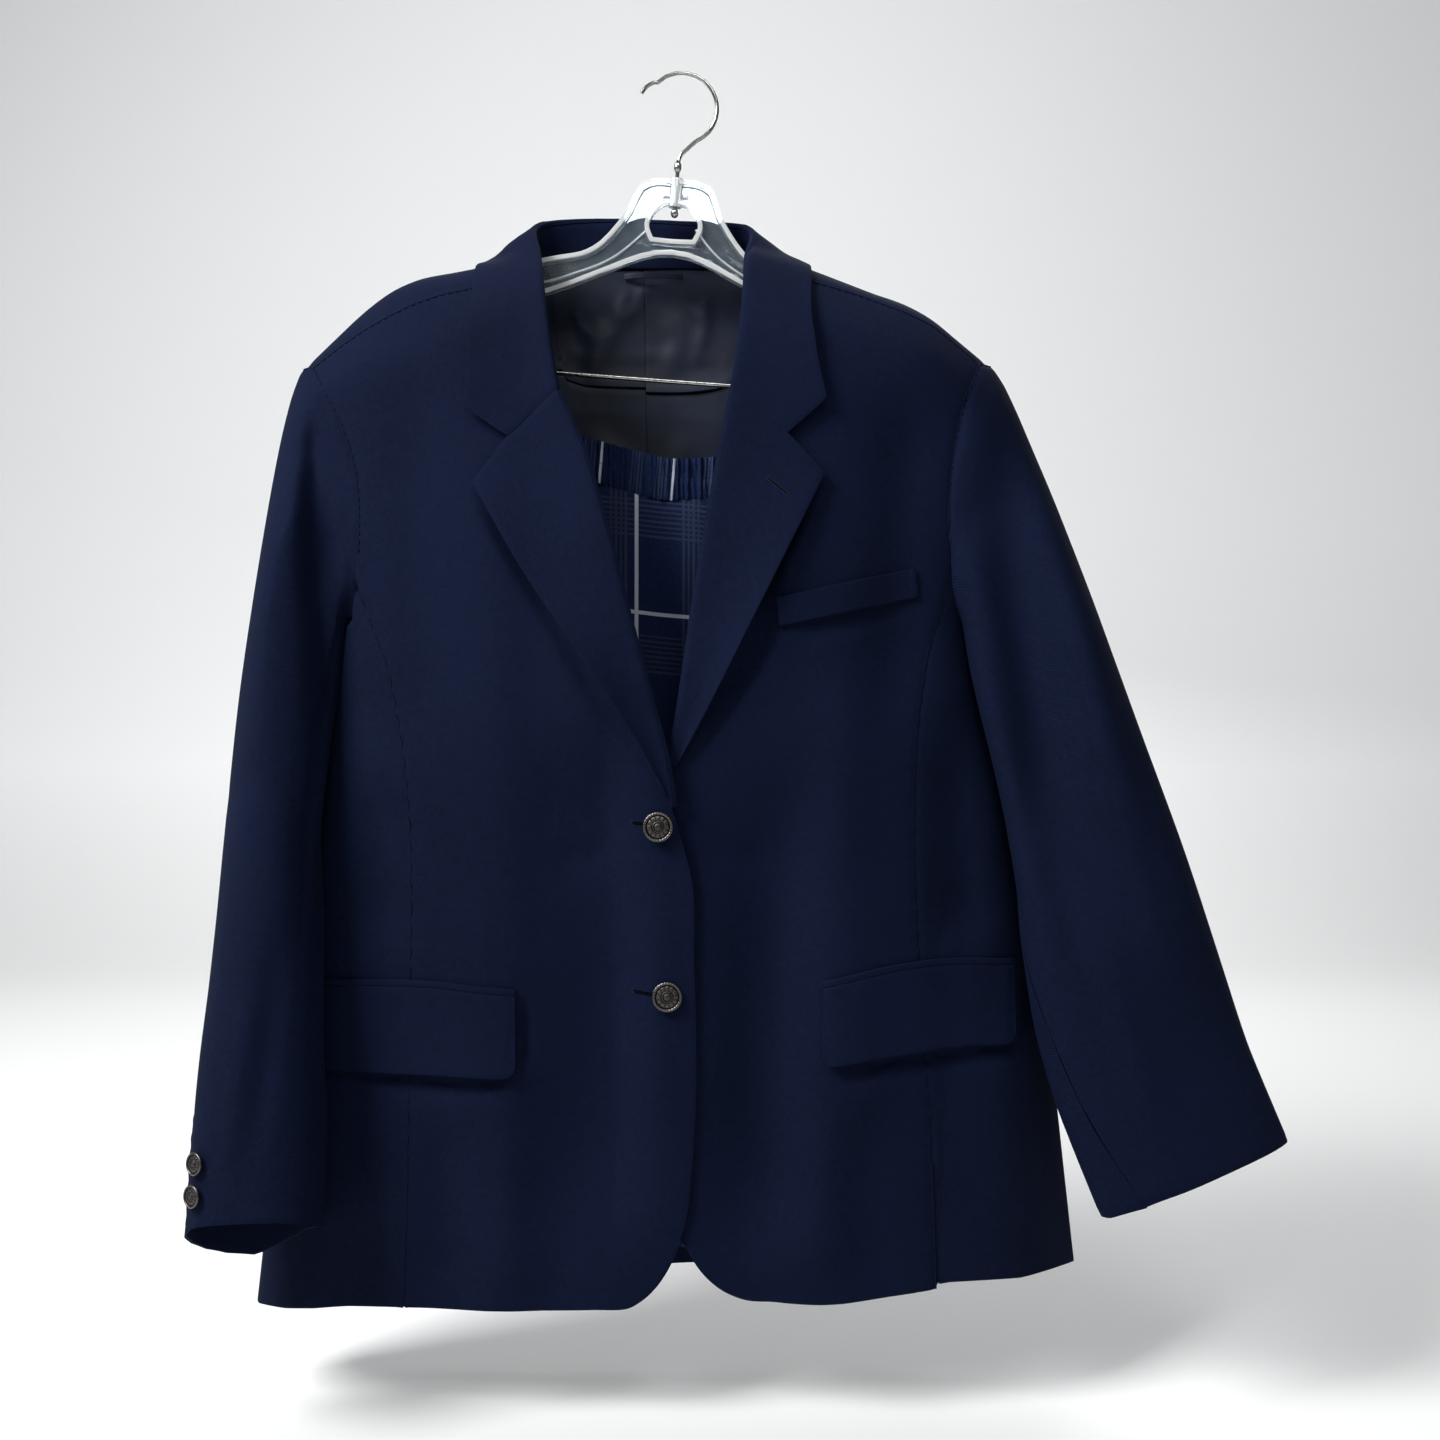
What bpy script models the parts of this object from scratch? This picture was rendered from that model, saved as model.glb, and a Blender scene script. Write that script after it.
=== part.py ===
"""School uniform on a hanger: a two-button blazer hung over a gathered skirt.

The tables are in millimetres and the model is in metres.  +X is the viewer's right, +Y points
away from the viewer and +Z up.  The origin is the inside of the hook's loop, where it hangs.
"left" and "right" are as seen from the front, so the left front laps over the right one.

The blazer's body is one smooth surface.  A point on it has a place across, from -1 at the left
side seam to +1 at the right one, and a level, which is its height except near the shoulders,
where the levels follow the shoulder ridge.  Every panel, pocket and lapel is made from it.
"""
import math
from collections import namedtuple

import bmesh
import bpy
import numpy as np
from mathutils import Vector
from mathutils.geometry import tessellate_polygon

MM = 0.001
SEAM_TRIM = 0.16          # each edge stops this far short of the seam
TURN_TRIM = 0.55          # the inner face of an edge stops this much shorter still
CLOTH = 1.8
LINING = 1.0
SKIRT_CLOTH = 1.2
LEFT, RIGHT = -1, 1

# ---------------------------------------------------------------- the blazer's body, from sizes

SECTION_POWER = 3.0       # 2 is an ellipse, more is squarer
SHOULDER_LEVEL = -150.0
FADE_TOP, FADE_BOTTOM = -190.0, -345.0

# side seams and the depth of the fronts and the back, by level
Level = namedtuple("Level", "level left right side front back")
BODY = (
    Level(-110, -262, 222, 4, -52, 33),
    Level(-150, -262, 221, 4, -56, 34),
    Level(-210, -262, 219, 4, -63, 35),
    Level(-260, -252, 213, 4, -66, 36),
    Level(-320, -241, 205, 4, -69, 37),
    Level(-391, -229, 198, 5, -70, 37),
    Level(-460, -242, 216, 5, -69, 36),
    Level(-560, -258, 238, 6, -66, 34),
    Level(-660, -270, 253, 6, -63, 33),
    Level(-750, -280, 263, 6, -61, 34),
    Level(-840, -289, 273, 5, -59, 35),
)

# top of the shoulders, and how far below it the front and the back reach their full depth
Ridge = namedtuple("Ridge", "x z front_round back_round")
SHOULDER_RIDGE = (
    Ridge(-320, -206, 44, 44),
    Ridge(-259, -203, 45, 44),
    Ridge(-241, -187.7, 50, 44),
    Ridge(-221, -170, 55, 42),
    Ridge(-199, -151.5, 60, 40),
    Ridge(-184, -143.5, 66, 38),
    Ridge(-147, -135, 80, 32),
    Ridge(-122, -129.5, 92, 26),
    Ridge(-93, -120.5, 110, 20),
    Ridge(-25, -114, 115, 18),
    Ridge(42, -117.5, 110, 20),
    Ridge(70, -126.5, 96, 24),
    Ridge(91, -134.5, 86, 28),
    Ridge(114, -143.5, 78, 32),
    Ridge(138.6, -153, 70, 35),
    Ridge(165.5, -163.5, 60, 38),
    Ridge(182, -176, 55, 41),
    Ridge(201, -191, 50, 43),
    Ridge(214, -201, 47, 44),
    Ridge(300, -208, 45, 44),
)

# how far the left front stands proud of the right one, by height
Lap = namedtuple("Lap", "z lift")
LAP = (Lap(-840, 3.4), Lap(-600, 4.4), Lap(-530, 7.2), Lap(-440, 7.6), Lap(-120, 7.4))
LAP_START, LAP_FULL = -99.0, -38.0

# soft hanging folds: where each crosses its top and bottom, its half width and its height
Fold = namedtuple("Fold", "top_x top_z hem_x half_width height")
FRONT_FOLDS = (
    Fold(-120, -420, -118, 46, 4.5),
    Fold(-205, -470, -214, 34, -4.0),
    Fold(100, -430, 106, 48, 4.5),
    Fold(176, -470, 192, 34, -4.0),
    Fold(40, -560, 44, 38, -2.5),
)
BACK_FOLDS = (
    Fold(-150, -330, -176, 42, 5.0),
    Fold(-76, -420, -92, 38, -4.0),
    Fold(62, -400, 78, 40, -4.5),
    Fold(128, -320, 158, 44, 5.5),
)

_swing = np.linspace(-math.pi / 2, math.pi / 2, 601)
ACROSS = np.sign(np.sin(_swing)) * np.abs(np.sin(_swing)) ** (2 / SECTION_POWER)
SHARE = np.abs(np.cos(_swing)) ** (2 / SECTION_POWER)
_steps = np.hypot(np.diff(ACROSS), 0.25 * np.diff(SHARE))
PLACE = np.concatenate(([0.0], np.cumsum(_steps)))
PLACE = 2 * PLACE / PLACE[-1] - 1


def through(knots, values, at):
    """A smooth curve through values at rising knots, read at the places `at`."""
    knots = np.asarray(knots, float)
    values = np.asarray(values, float)
    at = np.clip(np.asarray(at, float), knots[0], knots[-1])
    slopes = np.gradient(values, knots, axis=0)
    i = np.clip(np.searchsorted(knots, at, side="right") - 1, 0, len(knots) - 2)
    width = knots[i + 1] - knots[i]
    t = (at - knots[i]) / width
    spare = (1,) * (values.ndim - 1)
    t, width = t.reshape(t.shape + spare), width.reshape(width.shape + spare)
    rise = values[i + 1] - values[i]
    start, end = slopes[i] * width, slopes[i + 1] * width
    return values[i] + t * (start + t * (3 * rise - 2 * start - end + t * (start + end - 2 * rise)))


def column(table, name, at):
    """One named column of a table whose first column is the key, read at `at`."""
    rows = sorted(table, key=lambda row: row[0])
    return through([row[0] for row in rows], [getattr(row, name) for row in rows], at)


def ease(t):
    t = np.clip(t, 0.0, 1.0)
    return t * t * (3 - 2 * t)


def bump(t):
    """A smooth hump of height 1 at t = 0 that ends at t = -1 and 1."""
    return ease(1 - np.abs(t))


def ridge_drop(x):
    return column(SHOULDER_RIDGE, "z", x) - SHOULDER_LEVEL


def level_fade(level):
    return ease((level - FADE_BOTTOM) / (FADE_TOP - FADE_BOTTOM))


def level_of(x, z):
    """The level of a point of the body from its place and height."""
    drop = ridge_drop(x)
    level = np.asarray(z, float)
    for _ in range(60):
        level = z - drop * level_fade(level)
    return level


def quarter(t):
    """From 0 to 1 along a quarter circle."""
    t = np.clip(t, 0.0, 1.0)
    return np.sqrt(1 - (1 - t) ** 2)


def folds(table, x, z):
    height = np.zeros(np.shape(x))
    for fold in table:
        down = np.clip((fold.top_z - z) / (fold.top_z + 835.0), 0, 1)
        middle = fold.top_x + (fold.hem_x - fold.top_x) * down
        height = height + fold.height * ease(down * 1.6) * bump((x - middle) / fold.half_width)
    return height


def lap_lift(x, z):
    """How far the left front is raised where it laps over the right one."""
    return column(LAP, "lift", z) * ease((x - LAP_START) / (LAP_FULL - LAP_START))


def depth(x, z, level, share, face, lapped):
    """Y of the body's front (face -1) or back (face 1) surface."""
    side = column(BODY, "side", level)
    below = column(SHOULDER_RIDGE, "z", x) - z
    if face < 0:
        full = column(BODY, "front", level) - folds(FRONT_FOLDS, x, z)
        full = full - (lap_lift(x, z) if lapped else 0.0)
        rounding = quarter(below / column(SHOULDER_RIDGE, "front_round", x))
    else:
        full = column(BODY, "back", level) + folds(BACK_FOLDS, x, z)
        rounding = quarter(below / column(SHOULDER_RIDGE, "back_round", x))
    return side + (full - side) * share * rounding


def spread(level):
    left, right = column(BODY, "left", level), column(BODY, "right", level)
    return (left + right) / 2, (right - left) / 2


def body_point(place, level, face, lapped=False):
    """A point of the body.  Levels above the shoulder's are on the front of the ridge."""
    place, level = np.asarray(place, float), np.asarray(level, float)
    over = level > SHOULDER_LEVEL
    low = np.where(over, 2 * SHOULDER_LEVEL - level, level)
    middle, half = spread(low)
    x = middle + half * np.interp(place, PLACE, ACROSS)
    share = np.interp(place, PLACE, SHARE)
    z = low + ridge_drop(x) * level_fade(low)
    y = depth(x, z, low, share, face, lapped)
    if face > 0 and over.any():
        y = np.where(over, depth(x, z, low, share, -1, False), y)
    return np.stack((x, y, z), axis=-1)


def body_wall_points(grid, face, lapped=False):
    """Points of a grid of (place, level) and the directions straight out of the cloth there."""
    place, level = grid[..., 0], grid[..., 1]
    across = body_point(np.clip(place + 0.004, -1, 1), level, face, lapped)
    across = across - body_point(np.clip(place - 0.004, -1, 1), level, face, lapped)
    up = body_point(place, level + 0.4, face, lapped) - body_point(place, level - 0.4, face, lapped)
    return body_point(place, level, face, lapped), unit(np.cross(up, across)) * face


def surface_y(x, z, face, lapped=False):
    x, z = np.asarray(x, float), np.asarray(z, float)
    level = level_of(x, z)
    middle, half = spread(level)
    across = np.clip(np.abs((x - middle) / half), 0, 1)
    share = (1 - across ** SECTION_POWER) ** (1 / SECTION_POWER)
    return depth(x, z, level, share, face, lapped)


def front_y(x, z, side):
    return surface_y(x, z, -1, side == LEFT)


def body_cloud():
    """Close-set points all over the outside of the body, with their outward directions."""
    levels = np.linspace(SHOULDER_LEVEL - 0.5, -840, 120)
    place, level = np.meshgrid(np.linspace(-1, 1, 121), levels)
    grid = np.stack((place, level), axis=-1)
    faces = [body_wall_points(grid, face) for face in (-1, 1)]
    return [np.concatenate([face[k].reshape(-1, 3) for face in faces]) for k in (0, 1)]


def keep_off(points, clearance):
    """Points moved straight out of the body until each is at least `clearance` away from it."""
    cloud, outward = body_cloud()
    moved = np.array(points, float)
    flat = moved.reshape(-1, 3)
    least = np.broadcast_to(clearance, moved.shape[:-1]).reshape(-1)
    for i, point in enumerate(flat):
        near = int(np.argmin(np.sum((cloud - point) ** 2, axis=1)))
        away = float(np.dot(point - cloud[near], outward[near]))
        flat[i] = point + outward[near] * max(least[i] - away, 0.0)
    return moved


def to_body(points):
    """(place, level) of points given as (x, z)."""
    points = np.asarray(points, float)
    level = level_of(points[:, 0], points[:, 1])
    middle, half = spread(level)
    place = np.interp((points[:, 0] - middle) / half, ACROSS, PLACE)
    return np.stack((place, level), axis=-1)


# ---------------------------------------------------------------- grids and meshes

def lengths(points):
    steps = np.linalg.norm(np.diff(points, axis=0), axis=1)
    return np.concatenate(([0.0], np.cumsum(steps)))


def sample(points, steps):
    """Points on a smooth curve: `steps` is a count of even steps, or the shares of its length."""
    points = np.asarray(points, float)
    shares = np.linspace(0, 1, steps + 1) if isinstance(steps, int) else np.asarray(steps)
    along = lengths(points)
    return through(along, points, along[-1] * shares)


def chain(*curves):
    """Joins curves that each start where the last one ends."""
    parts = [curves[0]] + [curve[1:] for curve in curves[1:]]
    return np.concatenate(parts)


def fill(top, bottom, inner, outer):
    """A grid between four edges: rows from top to bottom, columns from inner to outer."""
    rows, columns = len(inner), len(top)
    down = (lengths(inner) / lengths(inner)[-1] + lengths(outer) / lengths(outer)[-1]) / 2
    along = (lengths(top) / lengths(top)[-1] + lengths(bottom) / lengths(bottom)[-1]) / 2
    t = down.reshape(rows, 1, 1)
    s = along.reshape(1, columns, 1)
    ruled = (1 - t) * top[None] + t * bottom[None] + (1 - s) * inner[:, None] + s * outer[:, None]
    corners = (1 - s) * (1 - t) * top[0] + s * (1 - t) * top[-1]
    corners = corners + (1 - s) * t * bottom[0] + s * t * bottom[-1]
    return ruled - corners


def unit(vectors):
    size = np.linalg.norm(vectors, axis=-1, keepdims=True)
    return vectors / np.maximum(size, 1e-9)


def grid_normals(grid, outward):
    normals = unit(np.cross(np.gradient(grid, axis=0), np.gradient(grid, axis=1)))
    if np.sum(normals * outward) < 0:
        normals = -normals
    return normals


def trimmed(grid, top, bottom, inner, outer):
    """The grid with each edge moved towards the row or column beside it."""
    grid = grid.copy()
    grid[0] += unit(grid[1] - grid[0]) * top
    grid[-1] += unit(grid[-2] - grid[-1]) * bottom
    grid[:, 0] += unit(grid[:, 1] - grid[:, 0]) * inner
    grid[:, -1] += unit(grid[:, -2] - grid[:, -1]) * outer
    return grid


def mesh_object(name, points, faces, material):
    """One closed piece from points in millimetres, with its faces pointing out."""
    mesh = bpy.data.meshes.new(name)
    mesh.from_pydata([tuple(point * MM) for point in np.asarray(points)], [], faces)
    work = bmesh.new()
    work.from_mesh(mesh)
    bmesh.ops.triangulate(work, faces=work.faces[:])
    bmesh.ops.recalc_face_normals(work, faces=work.faces[:])
    work.to_mesh(mesh)
    work.free()
    mesh.shade_smooth()
    mesh.set_sharp_from_angle(angle=math.radians(50))
    mesh.materials.append(material)
    thing = bpy.data.objects.new(name, mesh)
    bpy.context.collection.objects.link(thing)
    return thing


def wall(name, grid, normals, thickness, material, seams=(1, 1, 1, 1), turn=TURN_TRIM):
    """A cloth wall: `grid` is its outer face and the inner face lies `thickness` inside it."""
    grid = np.asarray(grid, float)
    outer = trimmed(grid, *[SEAM_TRIM * seam for seam in seams])
    inner = trimmed(grid - normals * thickness, *[(SEAM_TRIM + turn) * seam for seam in seams])
    rows, columns = grid.shape[:2]
    count = rows * columns
    points = np.concatenate((outer.reshape(-1, 3), inner.reshape(-1, 3)))

    def at(row, col, layer):
        return layer * count + row * columns + col

    faces = []
    for row in range(rows - 1):
        for col in range(columns - 1):
            corners = ((row, col), (row, col + 1), (row + 1, col + 1), (row + 1, col))
            faces.append([at(r, c, 0) for r, c in corners])
            faces.append([at(r, c, 1) for r, c in reversed(corners)])
    rim = [(0, col) for col in range(columns)]
    rim += [(row, columns - 1) for row in range(1, rows)]
    rim += [(rows - 1, col) for col in range(columns - 2, -1, -1)]
    rim += [(row, 0) for row in range(rows - 2, 0, -1)]
    for here, after in zip(rim, rim[1:] + rim[:1]):
        faces.append([at(*after, 0), at(*here, 0), at(*here, 1), at(*after, 1)])
    return mesh_object(name, points, faces, material)


def loft(name, rings, material):
    """A solid through closed rings of equal count, capped at both ends."""
    rings = np.asarray(rings, float)
    count, sides = rings.shape[:2]
    faces = [list(range(sides)), [(count - 1) * sides + i for i in range(sides)]]
    for ring in range(count - 1):
        for i in range(sides):
            j = (i + 1) % sides
            low, high = ring * sides, (ring + 1) * sides
            faces.append([low + i, low + j, high + j, high + i])
    return mesh_object(name, rings.reshape(-1, 3), faces, material)


def material(name, colour, roughness, metallic=0.0):
    made = bpy.data.materials.new(name)
    made.use_nodes = True
    shader = made.node_tree.nodes["Principled BSDF"]
    shader.inputs["Base Color"].default_value = (*colour, 1.0)
    shader.inputs["Roughness"].default_value = roughness
    shader.inputs["Metallic"].default_value = metallic
    made.diffuse_color = (*colour, 1.0)
    return made


# ---------------------------------------------------------------- seams of the blazer, as (x, z)

Half = namedtuple("Half", "neck_edge roll_line front_edge hem side_hem armhole underarm princess "
                          "shoulder_end shoulder_seam back_armhole")

HALVES = {
    LEFT: Half(
        neck_edge=((-104, -130.5), (-103, -143), (-97.5, -165), (-88.5, -197), (-79.5, -232)),
        roll_line=((-74.3, -231), (-58.4, -266.5), (-45.5, -308.5), (-26.1, -382.3),
                   (-13.3, -430.2), (-3.5, -468), (1.2, -498)),
        front_edge=((1.2, -498), (8.9, -530), (10.8, -579), (12.6, -632), (12.6, -690),
                    (9.8, -738), (5.0, -771), (-3.6, -795), (-16, -813), (-31.4, -823.5)),
        hem=((-31.4, -823.5), (-72, -825.5), (-125, -825.5), (-179, -826)),
        side_hem=((-179, -826), (-218, -828.5), (-254, -832.5)),
        armhole=((-247, -206), (-230.7, -231), (-219, -254), (-211, -281), (-209, -312),
                 (-210, -335), (-212, -354)),
        underarm=((-212, -354), (-215, -370), (-219.5, -382)),
        princess=((-212, -354), (-206, -372), (-194, -397), (-185, -427), (-179, -460),
                  (-175, -495), (-173, -561), (-174, -616), (-175, -679), (-176.5, -757),
                  (-179, -826)),
        shoulder_end=(-258, -203),
        shoulder_seam=((-104, -130.5), (-134, -155), (-163, -163), (-188, -175), (-216, -189),
                       (-247, -206)),
        back_armhole=((-249, -219), (-239, -246), (-231, -286), (-228, -326), (-227, -362)),
    ),
    RIGHT: Half(
        neck_edge=((56, -133), (54.5, -146), (50.5, -166), (44.5, -197), (39.5, -230)),
        roll_line=((34.6, -228.4), (25, -277.4), (18.6, -314.8), (9, -372.5), (2.6, -417.4),
                   (-3.2, -452.6), (-12, -488), (-20, -513.8)),
        front_edge=((-20, -513.8), (-26, -560), (-29, -610), (-27.6, -650), (-22.3, -690),
                    (-13.9, -727), (-5.2, -757.3), (3.6, -780), (13, -797), (26.3, -811.5),
                    (45.7, -820.3)),
        hem=((45.7, -820.3), (94.5, -821.5), (135, -818.5), (170, -814.7)),
        side_hem=((170, -814.7), (219.5, -810.6), (247, -811)),
        armhole=((203.8, -203), (192, -227.4), (183.9, -261.5), (181, -304), (182, -330),
                 (183, -345)),
        underarm=((183, -345), (186, -364), (190, -377)),
        princess=((183, -345), (179, -356), (172, -377), (160, -421), (156.5, -460),
                  (154.6, -504), (155, -539), (158, -599), (163, -667), (167, -742), (170, -814.7)),
        shoulder_end=(214, -201),
        shoulder_seam=((56, -133), (82, -147), (114, -155.5), (142, -165), (170, -177),
                       (203.8, -203)),
        back_armhole=((205, -219), (197, -246), (193, -286), (193, -326), (194, -360)),
    ),
}
UNDERARM_LEVEL = -391.0
UPPER_ROWS_END = -372.0
HEM_LEVEL = {LEFT: -838.0, RIGHT: -813.5}
# the back neck seam between the centre and the forward end of the shoulder seam
BACK_NECK = {LEFT: ((-62, -124.3), (-90, -125), (-102, -123.5)),
             RIGHT: ((14, -124.3), (42, -123.5), (54, -121.5))}
NECK_SHARES = (0, 0.3, 0.6, 0.82, 0.93, 1)
NECK_DROP = np.array((5, 5, 4.4, 3.4, 1.6))
ACROSS_SCALE = np.array((250.0, 1.0))
CENTRE_BACK = ((-25, -124.5), (-23, -300), (-16, -560), (-9, -828))
BACK_HEM_MID = {LEFT: (-150, -834), RIGHT: (130, -822)}

SHOULDER_COLUMNS = 8
NECK_COLUMNS = 5
ARMHOLE_ROWS = 7
ROLL_ROWS = 2                     # rows between the armhole's level and the break of the lapel
SIDE_COLUMNS = 5
SEAM_SHARES = np.concatenate((np.linspace(0, 0.8, 8), np.linspace(0.8, 1, 6)[1:]))
BACK_ARM_SHARES = np.linspace(0, 1, 9) ** 1.7
RIDGE_TURN = (1.0, 0.3, 0.0)      # shares of the way from the ridge to the shoulder seam


def side_seam(side):
    levels = UNDERARM_LEVEL + (HEM_LEVEL[side] - UNDERARM_LEVEL) * SEAM_SHARES
    return np.stack((np.full(len(levels), float(side)), levels), axis=-1)


def front_edges(side):
    """The four edges of a front in body coordinates."""
    half = HALVES[side]
    line, inward = neckline(side)
    roll = (line - inward * (ROLL_RADIUS + ROLL_SLOT))[FRONT_ROWS:]
    upper = np.concatenate((np.array(half.neck_edge)[:-1], roll))
    rolled = sample(upper, 400)
    split = int(np.argmin(np.abs(rolled[:, 1] - UPPER_ROWS_END)))
    edge = np.array(half.front_edge)
    below = (SEAM_SHARES[ROLL_ROWS:] - SEAM_SHARES[ROLL_ROWS]) / (1 - SEAM_SHARES[ROLL_ROWS])
    inner = chain(sample(rolled[:split + 1], ARMHOLE_ROWS), sample(rolled[split:], ROLL_ROWS),
                  sample(edge, below))
    outer = chain(sample(half.armhole, ARMHOLE_ROWS), sample(half.princess, SEAM_SHARES))
    top = sample(half.shoulder_seam, SHOULDER_COLUMNS)
    bottom = sample(half.hem, SHOULDER_COLUMNS)
    return [to_body(edge_points) for edge_points in (top, bottom, inner, outer)]


def front_wall(side):
    return body_wall_points(fill(*front_edges(side)), -1, side == LEFT)


def side_front_wall(side):
    half = HALVES[side]
    inner = to_body(sample(half.princess, SEAM_SHARES))
    outer = side_seam(side)
    under = np.concatenate((to_body(half.underarm), outer[:1]))
    hem = np.concatenate((to_body(half.side_hem), outer[-1:]))
    grid = fill(sample(under, SIDE_COLUMNS), sample(hem, SIDE_COLUMNS), inner, outer)
    return body_wall_points(grid, -1, side == LEFT)


def back_armhole(side):
    """The armhole from the top of the shoulder down the back to the underarm."""
    half = HALVES[side]
    top = to_body([half.shoulder_end])
    points = np.concatenate((top, to_body(half.back_armhole), side_seam(side)[:1]))
    points[0, 1] = SHOULDER_LEVEL
    return sample(points, BACK_ARM_SHARES)


def back_wall(side):
    half = HALVES[side]
    seam = to_body(sample(half.shoulder_seam, SHOULDER_COLUMNS))
    seam[:, 1] = 2 * SHOULDER_LEVEL - seam[:, 1]
    centre = np.array(CENTRE_BACK, float)
    neck = to_body(np.concatenate((centre[:1], BACK_NECK[side])))
    neck[-1, 1] = SHOULDER_LEVEL
    neck = np.concatenate((neck, seam[:1])) * ACROSS_SCALE
    neck = sample(neck, NECK_SHARES) / ACROSS_SCALE
    start = np.concatenate((neck[:-1], seam))
    ridge = start.copy()
    ridge[:, 1] = SHOULDER_LEVEL
    ridge[:NECK_COLUMNS, 1] = np.minimum(SHOULDER_LEVEL, start[:NECK_COLUMNS, 1]) - NECK_DROP
    ridge[-1] = back_armhole(side)[0]
    turn = np.stack([ridge + (start - ridge) * share for share in RIDGE_TURN])
    outer = chain(back_armhole(side), side_seam(side))
    middle = to_body(sample(centre, 40))
    drop = (outer[:, 1] - outer[0, 1]) / (outer[-1, 1] - outer[0, 1])
    levels = ridge[0, 1] + (middle[-1, 1] - ridge[0, 1]) * drop
    places = np.interp(-levels, -middle[:, 1], middle[:, 0])
    inner = np.stack((places, levels), axis=-1)
    hem = np.concatenate((inner[-1:], to_body([BACK_HEM_MID[side]]), outer[-1:]))
    hem = sample(hem, NECK_COLUMNS + SHOULDER_COLUMNS)
    main = fill(ridge, hem, inner, outer)
    return body_wall_points(np.concatenate((turn[:-1], main)), 1)


# ---------------------------------------------------------------- lapels and collar

ROLL_RADIUS = 3.0
ROLL_SLOT = 1.0                   # the front's edge stops short of the roll by this
ROLL_STEPS = (0, 60, 120)         # degrees round the roll, from the panel's edge to the front
LAPEL_LIFT = ROLL_RADIUS + 1.2    # outer face of the lapel above the panel's, next to the roll

Lapel = namedtuple("Lapel", "notch point outer_edge lift lift_ends pressed")
LAPELS = {
    LEFT: Lapel(notch=(-108.4, -260.6), point=(-130.6, -290),
                outer_edge=((-130.6, -290), (-98.5, -345.2), (-64.4, -395.7), (-25.8, -453.2),
                            (-6.4, -489)),
                lift=8.0, lift_ends=1.1, pressed=0.0),
    RIGHT: Lapel(notch=(71.5, -258.3), point=(95.5, -283.8),
                 outer_edge=((95.5, -283.8), (74.5, -326), (45.5, -384.2), (21.8, -431.5),
                             (1.4, -469.8), (-19, -505)),
                 lift=8.0, lift_ends=0.84, pressed=0.8),
}
LAPEL_ROWS = 14
LAPEL_SEAMS = (1, 1, 3, 0)

# the collar: its fold and its outer edge, and how far round the neck seam the foot of its stand
# is, from the left gorge round the back to the right one.  Rows without a depth lie on the front.
Neck = namedtuple("Neck", "fold_x fold_z edge_x edge_z foot fold_y edge_y")
NECK = {
    LEFT: (
        Neck(-74.3, -231, -136, -241.8, 0.0, None, None),
        Neck(-80.8, -197, -135, -210, 0.17, None, None),
        Neck(-86.8, -159, -134.6, -178, 0.36, None, None),
        Neck(-92.6, -128, -133.5, -150, 0.50, -24, -15),
        Neck(-99, -107, -129, -128, 0.60, -3, 8),
        Neck(-91, -95.5, -110, -137, 0.70, 15, 33),
        Neck(-60, -90, -70, -143.5, 0.84, 26, 38),
        Neck(-25, -90, -25, -146, 1.0, 29, 39),
    ),
    RIGHT: (
        Neck(34.6, -228.4, 96.8, -236, 0.0, None, None),
        Neck(39.6, -195, 90.5, -207, 0.17, None, None),
        Neck(42.7, -159, 87.5, -179, 0.36, None, None),
        Neck(44.6, -131, 85, -153, 0.50, -24, -15),
        Neck(50, -110, 81, -131, 0.60, -3, 8),
        Neck(42, -97.5, 61, -139, 0.70, 15, 33),
        Neck(10, -92, 20, -145, 0.84, 26, 38),
        Neck(-25, -90, -25, -146, 1.0, 29, 39),
    ),
}
COLLAR_EDGE_LIFT = 3.0
COLLAR_BULGE = 3.5
COLLAR_CLEAR = 3.1                # outer face of the fall above the shoulder it lies on
NECK_SEAM_GAP = 1.2
STAND_INSIDE = 1.9                # the foot of the stand lies this far inside the neck seam
COLLAR_SEAMS = (2, 2, 2, 0)
STAND_SEAMS = (2, 2, 2, 1)
FALL_POINTS = 5
NECK_MIDDLE, FLAT = np.array((-25.0, -20.0, 0.0)), np.array((1.0, 1.0, 0.0))
FRONT_ROWS = 3


def neckline(side):
    """The fold of the collar and the roll of the lapel as one line, and its inward direction."""
    fold = [(row.fold_x, row.fold_z) for row in NECK[side][FRONT_ROWS::-1]]
    roll = sample(HALVES[side].roll_line, LAPEL_ROWS)
    line = np.concatenate((np.array(fold[:-1]), roll))
    along = unit(np.gradient(line, axis=0))
    inward = np.stack((-along[:, 1], along[:, 0]), axis=-1) * -side
    inward *= np.sign(inward[:, :1]) * -side
    return line, inward


def roll_points(edge, inward, side):
    """Points and normals round the roll, from the panel's plane to the front of the cloth."""
    centre = edge - inward * ROLL_RADIUS
    middle = np.stack((centre[:, 0], front_y(*centre.T, side) - 1.2, centre[:, 1]), axis=-1)
    sideways = np.stack((inward[:, 0], np.zeros(len(edge)), inward[:, 1]), axis=-1)
    normals = [sideways * math.sin(math.radians(angle))
               + np.array((0, math.cos(math.radians(angle)), 0)) for angle in ROLL_STEPS]
    return [middle + normal * ROLL_RADIUS for normal in normals], normals, centre


def gorge(side, inner, point):
    """Across the top of the lapel, or the end of the collar: the gorge seam, then the notch."""
    notch = np.array(LAPELS[side].notch)
    return np.array((inner, (inner + notch) / 2, notch, (notch + np.array(point)) / 2, point))


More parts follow.
